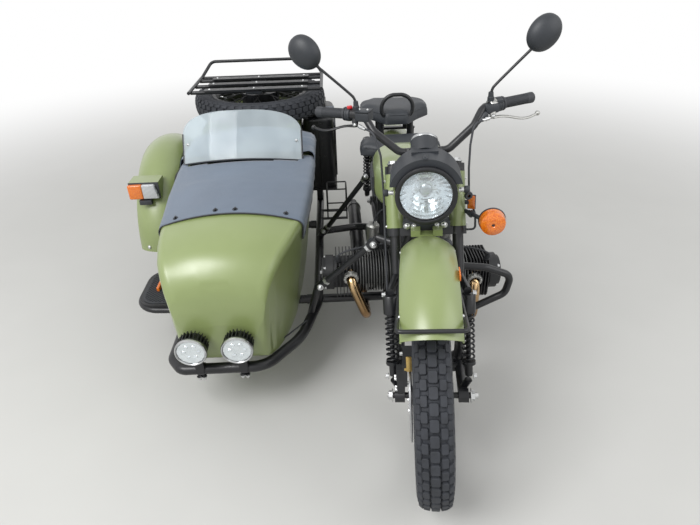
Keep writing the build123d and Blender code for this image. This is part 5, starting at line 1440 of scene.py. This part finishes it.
# %% Header nuts and clamps
PORTS = {-1: (252, 628, 463), 1: (238, 594, 452)}
SILENCER_X, SILENCER_Z, SILENCER_RISE = 198, 222, 0.036
header_way = Vector((0, -56, -8)).normalized()
nut = [(0, 20.3), (0, 30), (3, 31), (6, 31), (12, 31), (18, 30), (20, 27), (20, 20.3)]
narrow_band = [(-9, 20), (-9, 25), (-7, 26), (7, 26), (9, 25), (9, 20)]
wide_band = [(-8, 35.5), (-8, 37.2), (-6, 38.2), (6, 38.2), (8, 37.2), (8, 35.5)]


def notched(angle, along):
    """The nut's fins: twelve notches round it, behind its first three millimetres."""
    return 1 if along < 3 or (angle * 12 / pi) % 2 < 1.3 else 0.9


shape = bmesh.new()
clamps = bmesh.new()
bands = bmesh.new()
for side, (port_x, port_y, port_z) in PORTS.items():
    lathe(shape, nut, 96, seat((side * port_x, port_y - 78, port_z), header_way), wave=notched)
    x = side * SILENCER_X
    for y in (988, 1012):
        lathe(bands, narrow_band, 48, seat((x, y, SILENCER_Z), (0, 1, 0)))
    plate(clamps, (8, 18, 22), seat((x, 1000, 196)), bevel=1.5)
    bolt(clamps, (x + side * 4, 1000, 192), (side, 0, 0), 11, shank=4)
    slope = (0, 1, SILENCER_RISE)
    for y in (1046, 1330, 1618):
        lathe(bands, wide_band, 56, seat((x, y, SILENCER_Z + (y - 1030) * SILENCER_RISE), slope))
    lathe(bands, [(0, 12), (0, 17.6), (3, 18.4), (6, 17.6), (6, 12)], 40, seat((x, 1696, 247), slope))
finish_piece("header_nuts", shape, bare_alloy, "machine")
finish_piece("exhaust_bands", bands, black_paint, "machine")
finish_piece("exhaust_clamps", clamps, zinc_plate, "machine")

# %% [markdown]
# ## Frame fittings
# Footrests wear rubber sleeves with ribs. The frame's joints carry nuts, the struts to the sidecar end
# in forks with bolts, and a gear lever and a brake pedal stand beside the case.

# %% Footrests, pedals and strut bolts
shape = bmesh.new()
for side in (-1, 1):
    ribs = [(0, 16), (0, 21)]
    for k in range(9):
        ribs += [(4 + 10 * k, 21), (7 + 10 * k, 21), (8.5 + 10 * k, 19), (12 + 10 * k, 19)]
    ribs += [(97, 21), (103, 20), (106, 16), (107, 8), (107, 0)]
    lathe(shape, ribs, 36, seat((side * 180, 830, 262), (side, 0, 0)))
finish_piece("footrest_rubbers", shape, soft_rubber, "machine")
shape = bmesh.new()
STRUTS = (((-387, 530, 430), (-150, 480, 668)), ((-372, 1178, 330), (-142, 1022, 712)))
for low, high in STRUTS:
    low, high = Vector(low), Vector(high)
    way = (high - low).normalized()
    side_way = way.cross(Vector((0, 0, 1))).normalized()
    for at in (low + way * 20, high - way * 20):
        for sign in (-1, 1):
            bolt(shape, at + side_way * (sign * 16.5), side_way * sign, 20, high=0.45, shank=3)
    for at in (low + way * 50, high - way * 50):
        lathe(shape, [(-8, 12), (-8, 17), (8, 17), (8, 12)], 6, seat(at, way))
SWING_PIVOTS = {-1: -154, 1: 102}
for side in (-1, 1):
    bolt(shape, (SWING_PIVOTS[side], 1040, 330), (side, 0, 0), 28, high=0.4, shank=3)
    bolt(shape, (side * 141, 1392, 737), (side, 0, 0), 18, high=0.5)
    bolt(shape, (side * 129, 1478, 392), (side, 0, 0), 18, high=0.5)
    bolt(shape, (side * 85, 600, 235), (side, 0, 0), 16)
finish_piece("frame_bolts", shape, zinc_plate, "machine")
GEAR_LEVER = [
    (64, 800, 330), (86, 800, 330), (100, 790, 328), (108, 730, 316), (118, 700, 310), (160, 696, 310),
]
BRAKE_PEDAL = [
    (-64, 860, 300), (-104, 860, 292), (-128, 840, 286), (-140, 760, 276), (-146, 720, 284),
    (-176, 714, 288),
]
tube("gear_lever", GEAR_LEVER, 12, black_paint, "machine")
tube("brake_pedal", BRAKE_PEDAL, 13, black_paint, "machine")

# %% [markdown]
# ## Sidecar fittings
# The step is a D-shaped plate with a rubber mat, whose ribs run diagonally so that mud leaves
# it. A rib is a straight bar, and its length comes from where its line crosses the D. The lamps
# stand on clamps with nuts under the bumper tube, and the hull hangs on rubber-mounted bolts.

# %% Step mat
STEP_X, STEP_Y, STEP_ROUND, STEP_TOP = (-1180, -972), (640, 925), 80, 300
MAT_X, MAT_Y = -1076, 782
MAT_POINTS = 96
DIAGONAL = 0.707


def on_step(x, y, inset):
    """Whether a point lies on the step's D, so far in from its edge."""
    if not (STEP_X[0] + inset <= x <= STEP_X[1] - inset and STEP_Y[0] + inset <= y <= STEP_Y[1] - inset):
        return False
    corner_x = STEP_X[0] + STEP_ROUND
    corner_y = min(max(y, STEP_Y[0] + STEP_ROUND), STEP_Y[1] - STEP_ROUND)
    return x > corner_x or sqrt((x - corner_x) ** 2 + (y - corner_y) ** 2) <= STEP_ROUND - inset


shape = bmesh.new()
outline = []
for way_x, way_y in circle(MAT_POINTS, 1):
    reach = 0
    while on_step(MAT_X + reach * way_x, MAT_Y + reach * way_y, 12):
        reach += 1
    outline.append((MAT_X + reach * way_x, MAT_Y + reach * way_y))
low = [shape.verts.new(place(x, y, STEP_TOP)) for x, y in outline]
high = [shape.verts.new(place(x, y, STEP_TOP + 2.5)) for x, y in outline]
for k in range(MAT_POINTS):
    after = (k + 1) % MAT_POINTS
    shape.faces.new((low[k], low[after], high[after], high[k]))
shape.faces.new(high)


def on_rib(offset, along):
    """A point of a diagonal line over the mat, at an offset from its middle line."""
    return MAT_X + (offset + along) * DIAGONAL, MAT_Y + (along - offset) * DIAGONAL


for offset in range(-24 * 13, 25 * 13, 13):
    inside = [t for t in range(-260, 261, 2) if on_step(*on_rib(offset, t), 20)]
    if len(inside) < 8:
        continue
    middle, long = (inside[0] + inside[-1]) / 2, inside[-1] - inside[0]
    at = (*on_rib(offset, middle), STEP_TOP + 3.2)
    plate(shape, (long, 5, 4), seat(at, (1, 1, 0)), bevel=1.2, segments=1)
finish_piece("step_mat", shape, soft_rubber, "machine")

# %% Chassis bolts and clamps
HANGERS = ((-940, 690), (-410, 690), (-940, 1400), (-410, 1400))
shape = bmesh.new()
for x in SPOT_LAMPS.values():
    for way in (-1, 1):
        bolt(shape, (x + way * 9, 255, 238), (0, 0, -1), 15, high=0.6, shank=6)
        bolt(shape, (x + way * 16.5, 232, 350), (way, 0, 0), 11)
for x, y in HANGERS:
    bolt(shape, (x, y, 244), (0, 0, -1), 17, high=0.5)
for x in (-880, -520):
    for y in (690, 1400):
        bolt(shape, (x, y, 296.5), (0, 0, 1), 15, high=0.5)
bolt(shape, (-1066, 1060, 302), (-1, 0, 0), 26, high=0.4, shank=3)
bolt(shape, (-1053, 1330, 356), (-1, 0, 0), 16)
bolt(shape, (-1050, 1290, 668), (-1, 0, 0), 16)
for y in (652, 913):
    bolt(shape, (-1000, y, 301), (0, 0, 1), 13, high=0.5)
finish_piece("chassis_bolts", shape, zinc_plate, "machine")
shape = bmesh.new()
for x in SPOT_LAMPS.values():
    lathe(shape, [(-13, 21.2), (-13, 24), (13, 24), (13, 21.2)], 40, seat((x, 270, 262), (1, 0, 0)))
    for side in (-1, 1):
        plate(shape, (4, 26, 60), seat((x + side * 15, 238, 352)), bevel=1.5)
for x, y in HANGERS:
    inward = 22 if x < HULL_X else -22
    lathe(shape, [(-14, 19.2), (-14, 22), (14, 22), (14, 19.2)], 40, seat((x + inward, y, 262)))
finish_piece("chassis_clamps", shape, black_paint, "machine")
SPOT_WIRE = [
    (-830, 262, 400), (-820, 285, 350), (-780, 290, 300), (-668, 292, 296), (-560, 330, 300),
    (-440, 480, 306),
]
tube("spot_lamp_lead", SPOT_WIRE, 6, soft_rubber, "machine")

# %% [markdown]
# ## Fender edges
# A fender is pressed sheet steel, and its free edge is rolled round a wire, which stiffens it and
# hides the sharp edge. The wire shows as a round bead, so a tube along both sides draws it. Dome
# bolts go through the stays of the sidecar's fender and the sides of the front one.

# %% Fender edges and bolts
CROWN, SKIRT = 40, 30
SIDE_FENDER_X, SIDE_FENDER_HALF, SIDE_FENDER_R = -1145, 95, 440
FRONT_FENDER_Y, FRONT_FENDER_Z = 50, 470


def fender_bead(name, half, radius, centre, ahead, behind, body, on_fork=False):
    """The rolled wire edge along both sides of a fender, between two angles from its top."""
    low = radius - CROWN - SKIRT
    for number, side in enumerate((1, -1)):
        points = []
        for k in range(25):
            angle = radians(ahead - (ahead + behind) * k / 24)
            points.append(tuple(Vector(centre) + Vector((side * half, -low * sin(angle), low * cos(angle)))))
        points = points[::side]
        tube(f"{name}_bead_{number}", points, 6, olive_paint, body, on_fork=on_fork)


side_fender = (SIDE_FENDER_X, SIDECAR_WHEEL[1], TYRE_R)
fender_bead("front_fender", 83, 390, (0, FRONT_FENDER_Y, FRONT_FENDER_Z), 42, 40, "fork", True)
fender_bead("rear_fender", 85, 430, (0, WHEELBASE, TYRE_R), 62, 104, "machine")
fender_bead("sidecar_fender", SIDE_FENDER_HALF, SIDE_FENDER_R, side_fender, 86, 86, "machine")
shape = bmesh.new()
for x in (-1190, -1090):
    for angle in (-83, 83):
        outward = Vector((0, sin(radians(angle)), cos(radians(angle))))
        reach = SIDE_FENDER_R - CROWN * ((x - SIDE_FENDER_X) / SIDE_FENDER_HALF) ** 2
        dome_bolt(shape, Vector((x, SIDECAR_WHEEL[1], TYRE_R)) + outward * reach, outward, 16)
# The front fender's four bolts ride on the machine here, so they wrongly stay behind when the fork turns.
for side in (-1, 1):
    for angle in (-30, 28):
        turn_by = radians(angle)
        at = (side * 83.2, FRONT_FENDER_Y + 338 * sin(turn_by), FRONT_FENDER_Z + 338 * cos(turn_by))
        dome_bolt(shape, at, (side, 0, 0), 10, True)
finish_piece("fender_bolts", shape, zinc_plate, "machine")

# %% [markdown]
# ## Trunk lid, spare wheel and rack
# The lid is hinged at its front edge, and two latches hold it behind. The rack's slats are bolted to its
# cross tubes, and one big nut with a plate holds the spare wheel. All of these move with the lid.

# %% Lid, latches and rack bolts
LID_HINGES = (-880, -560)
shape = bmesh.new()
for x in LID_HINGES:
    lathe(shape, [(-34, 0), (-34, 8), (34, 8), (34, 0)], 20, seat((x, 1352, 826), (1, 0, 0)))
    plate(shape, (62, 46, 3), seat((x, 1378, 830.5)), bevel=1)
    plate(shape, (40, 8, 34), seat((x, 1981, 818)), bevel=1.5)
    plate(shape, (24, 10, 12), seat((x, 1984, 806)), bevel=2)
finish_piece("lid_hinges", shape, black_paint, "trunk_lid")
shape = bmesh.new()
for x in LID_HINGES:
    for dx in (-20, 20):
        dome_bolt(shape, (x + dx, 1386, 831.5), (0, 0, 1), 8)
for y in (1480, 1600, 1720):
    for x in (-905, -685, -445):
        dome_bolt(shape, (x, y, 995), (0, 0, 1), 9)
bolt(shape, (*SPARE_WHEEL[:2], 939), (0, 0, 1), 36, high=0.35, shank=6)
finish_piece("lid_and_rack_bolts", shape, zinc_plate, "trunk_lid")
shape = bmesh.new()
plate(shape, (466, 8, 5), seat((-717, 1356, 826)), bevel=2)
for x in (-944, -490):
    plate(shape, (5, 620, 7), seat((x, 1665, 825.5)), bevel=2)
plate(shape, (456, 5, 7), seat((-717, 1978, 825.5)), bevel=2)
finish_piece("lid_seal", shape, soft_rubber, "trunk_lid")

# %% [markdown]
# ## Fuel can
# A pressed steel can of 20 litres has a cross and a frame pressed into both flanks, three handles
# across its top, a capped spout and a welded seam round its narrow sides. A strap with a buckle
# holds it on its shelf.

# %% Fuel can
CAN_X, CAN_Y = -379.5, 1772
FLANK, STRAP = 84, 86
CROSS_Y, CROSS_Z = (1650, 1895), (450, 745)
flat_on = Matrix.Rotation(radians(90), 4, "X")
shape = bmesh.new()
for x in (CAN_X - FLANK, CAN_X + FLANK):
    for y0, y1 in (CROSS_Y, CROSS_Y[::-1]):
        way = Vector((0, y1 - y0, CROSS_Z[1] - CROSS_Z[0]))
        middle = (x, sum(CROSS_Y) / 2, sum(CROSS_Z) / 2)
        plate(shape, (way.length, 22, 6), seat(middle, way.normalized()) @ flat_on, bevel=2.8)
    for z in (440, 755):
        plate(shape, (6, 262, 10), seat((x, CAN_Y, z)), bevel=2.6)
    for y in (1641, 1904):
        plate(shape, (6, 10, 322), seat((x, y, 598)), bevel=2.6)
plate(shape, (5, 352, 6), seat((CAN_X, CAN_Y, 800)), bevel=2)
for y in (1598, 1946):
    plate(shape, (5, 5, 380), seat((CAN_X, y, 590)), bevel=2)
spout = seat((-379, 1640, 806), (0, -0.5, 0.87))
lathe(
    shape, [(-8, 22), (0, 22), (0, 26), (18, 26), (21, 23), (21, 0)], 36, spout,
    wave=lambda angle, along: 1 - 0.02 * (round(angle * 8) % 2),
)
finish_piece("can_pressings", shape, black_paint, "machine")
HANDLE = ((1690, 806), (1700, 836), (1740, 844), (1830, 844), (1870, 836), (1882, 806))
for number, x in enumerate((-415, -379, -343)):
    points = [(x, y, z) for y, z in HANDLE]
    tube(f"can_handle_{number}", points, 12, black_paint, "machine")
strap = bmesh.new()
for x in (CAN_X - STRAP, CAN_X + STRAP):
    plate(strap, (3, 34, 420), seat((x, CAN_Y, 600)), bevel=1, segments=1)
plate(strap, (176, 34, 3), seat((CAN_X, CAN_Y, 804)), bevel=1, segments=1)
finish_piece("can_strap", strap, cover_cloth, "machine")
shape = bmesh.new()
for z in (690, 652):
    plate(shape, (6, 44, 6), seat((-291, CAN_Y, z)), bevel=1.5)
for y in (CAN_Y - 20, CAN_Y + 20):
    plate(shape, (6, 6, 44), seat((-291, y, 671)), bevel=1.5)
finish_piece("can_buckle", shape, zinc_plate, "machine")

# %% [markdown]
# ## Tank, plate and rear fittings
# The filler cap is a bayonet cap with finger grips. A raised line divides each knee pad. The number
# plate is blank, white and held by two screws, and the passenger saddle has a grab loop whose feet
# are clamped by bolts.

# %% Tank cap and knee pads
shape = bmesh.new()
cap_shape = [(20, 33), (20, 37), (24, 39), (34, 39), (39, 36), (41, 30), (42, 12), (42, 0)]
lathe(
    shape, cap_shape, 96, seat((0, 600, 925), (0, 0, 1)),
    wave=lambda angle, along: 1 - 0.04 * (round(angle * 12 / pi) % 2) * (20 < along < 40),
)
lathe(shape, [(0, 40), (4, 41), (6, 39), (6, 34)], 72, seat((0, 600, 930), (0, 0, 1)))
finish_piece("tank_cap", shape, black_plastic, "machine")
pad_skin = skin_of(nodes["knee_pads"])
for side, name in SIDES:
    for number, z in enumerate((790, 810, 830)):
        points = []
        for y in range(652, 793, 14):
            hit = pad_skin.ray_cast(place(side * 400, y, z), Vector((-side, 0, 0)))[0]
            if hit is not None:
                points.append(hit)
        if len(points) > 3:
            tube(f"knee_pad_rib_{name}_{number}", points, 4, soft_rubber, "machine")

# %% Number plate and rear bolts
plate_white, tree, coat, where = material("painted_plate_sheet", Roughness=0.35, IOR=1.5)
cloud = add(tree, "TexNoise", Vector=where, Scale=30.0, Detail=2.0)
add(tree, "Mix", COLOURS, to=coat["Base Color"], out=2, _0=cloud, _6="#e2e3e1", _7="#efefec")
shape = bmesh.new()
plate(shape, (174, 1.6, 112), seat((0, 1944, 490)), bevel=0.6)
finish_piece("number_plate", shape, plate_white, "machine")
shape = bmesh.new()
for x in (-60, 60):
    dome_bolt(shape, (x, 1945, 530), (0, 1, 0), 10)
for side in (-1, 1):
    for y in (1260, 1470):
        bolt(shape, (side * 114.4, y, 772), (side, 0, 0), 12)
    dome_bolt(shape, (side * 40, 1226, 884), (0, -1, 0), 9)
    for y in (1274, 1432):
        bolt(shape, (side * 100, y, 789), (0, 0, 1), 13)
finish_piece("rear_bolts", shape, zinc_plate, "machine")

# %% [markdown]
# ## Driver's saddle springs
# The driver's saddle rides on two coil springs behind and a pivot in front. The wires are real
# helices like those of the dampers.

# %% Saddle springs
TURNS, SPRING_FOOT, SPRING_HIGH = 6, 752, 30
for side, name in SIDES:
    helix = []
    for i, (dx, dy) in enumerate(circle(12, 21) * TURNS + circle(1, 21)):
        helix.append((side * 70 + dx, 1120 + dy, SPRING_FOOT + SPRING_HIGH * i / (12 * TURNS)))
    tube(name + "_saddle_spring", helix, 5, zinc_plate, "machine")
shape = bmesh.new()
plate(shape, (44, 30, 10), seat((0, 968, 778)), bevel=3)
lathe(shape, [(-26, 0), (-26, 9), (26, 9), (26, 0)], 20, seat((0, 960, 768), (1, 0, 0)))
finish_piece("saddle_pivot", shape, black_paint, "machine")

# %% [markdown]
# ## Stage and light
# A pale floor, one large soft light from the front and above, a weaker one from the left and a
# pale world give the plain studio look. The background is white by its own colour for the camera,
# for reflections and through glass, and no light is added for it. A few metres out the floor fades
# into that white for the camera alone, so no horizon shows, and near the wheels it keeps its shadow.

# %% Stage
floor_paint, tree, coat, where = material("studio_floor", Roughness=0.9)
speck = add(tree, "TexNoise", Vector=where, Scale=3.0, Detail=2.0)
add(tree, "Mix", COLOURS, to=coat["Base Color"], out=2, _0=speck, _6="#c9c9c6", _7="#cececb")
away = add(tree, "VectorMath", {"operation": "LENGTH"}, out=1, _0=where)
fade = add(tree, "MapRange", {"interpolation_type": "SMOOTHSTEP"}, Value=away, From_Min=2.0, From_Max=6.0)
direct = add(tree, "LightPath")
veil = add(tree, "Math", {"operation": "MULTIPLY"}, _0=fade, _1=direct)
white = add(tree, "Emission", Color="#ffffff", Strength=1.0)
surface = tree.nodes["Material Output"].inputs["Surface"]
add(tree, "MixShader", to=surface, _0=veil, _1=tree.nodes["Principled BSDF"].outputs[0], _2=white)
ground_shape = bmesh.new()
bmesh.ops.create_grid(ground_shape, x_segments=2, y_segments=2, size=30)
ground_data = bpy.data.meshes.new("studio_floor")
ground_shape.to_mesh(ground_data)
ground_shape.free()
ground_data.materials.append(floor_paint)
floor = bpy.data.objects.new("studio_floor", ground_data)
bpy.context.scene.collection.objects.link(floor)

world = bpy.data.worlds.new("studio_world")
bpy.context.scene.world = world
world.use_nodes = True
sky = world.node_tree
path = sky.nodes.new("ShaderNodeLightPath")
seen = path.outputs["Is Camera Ray"]
for kind in ("Is Glossy Ray", "Is Transmission Ray"):
    seen = add(sky, "Math", {"operation": "MAXIMUM"}, _0=seen, _1=path.outputs[kind])
strength = add(sky, "MapRange", Value=seen, To_Min=0.62, To_Max=1.0)
sky.nodes["Background"].inputs["Color"].default_value = linear("#ffffff")
sky.links.new(strength, sky.nodes["Background"].inputs["Strength"])


def softbox(name, at, aim, size, watts):
    """A square area light, aimed at a point."""
    lamp = bpy.data.lights.new(name, "AREA")
    lamp.size = size
    lamp.energy = watts
    holder = bpy.data.objects.new(name, lamp)
    holder.location = at
    holder.rotation_euler = (Vector(aim) - Vector(at)).to_track_quat("-Z", "Y").to_euler()
    bpy.context.scene.collection.objects.link(holder)
    print(name, "gives", watts, "watts")


softbox("key_light", (-2.5, -3.0, 4.5), (0, 0, 0.5), 2.6, 210)
softbox("fill_light", (3.5, -2.0, 3.0), (0, 0, 0.5), 3.0, 45)
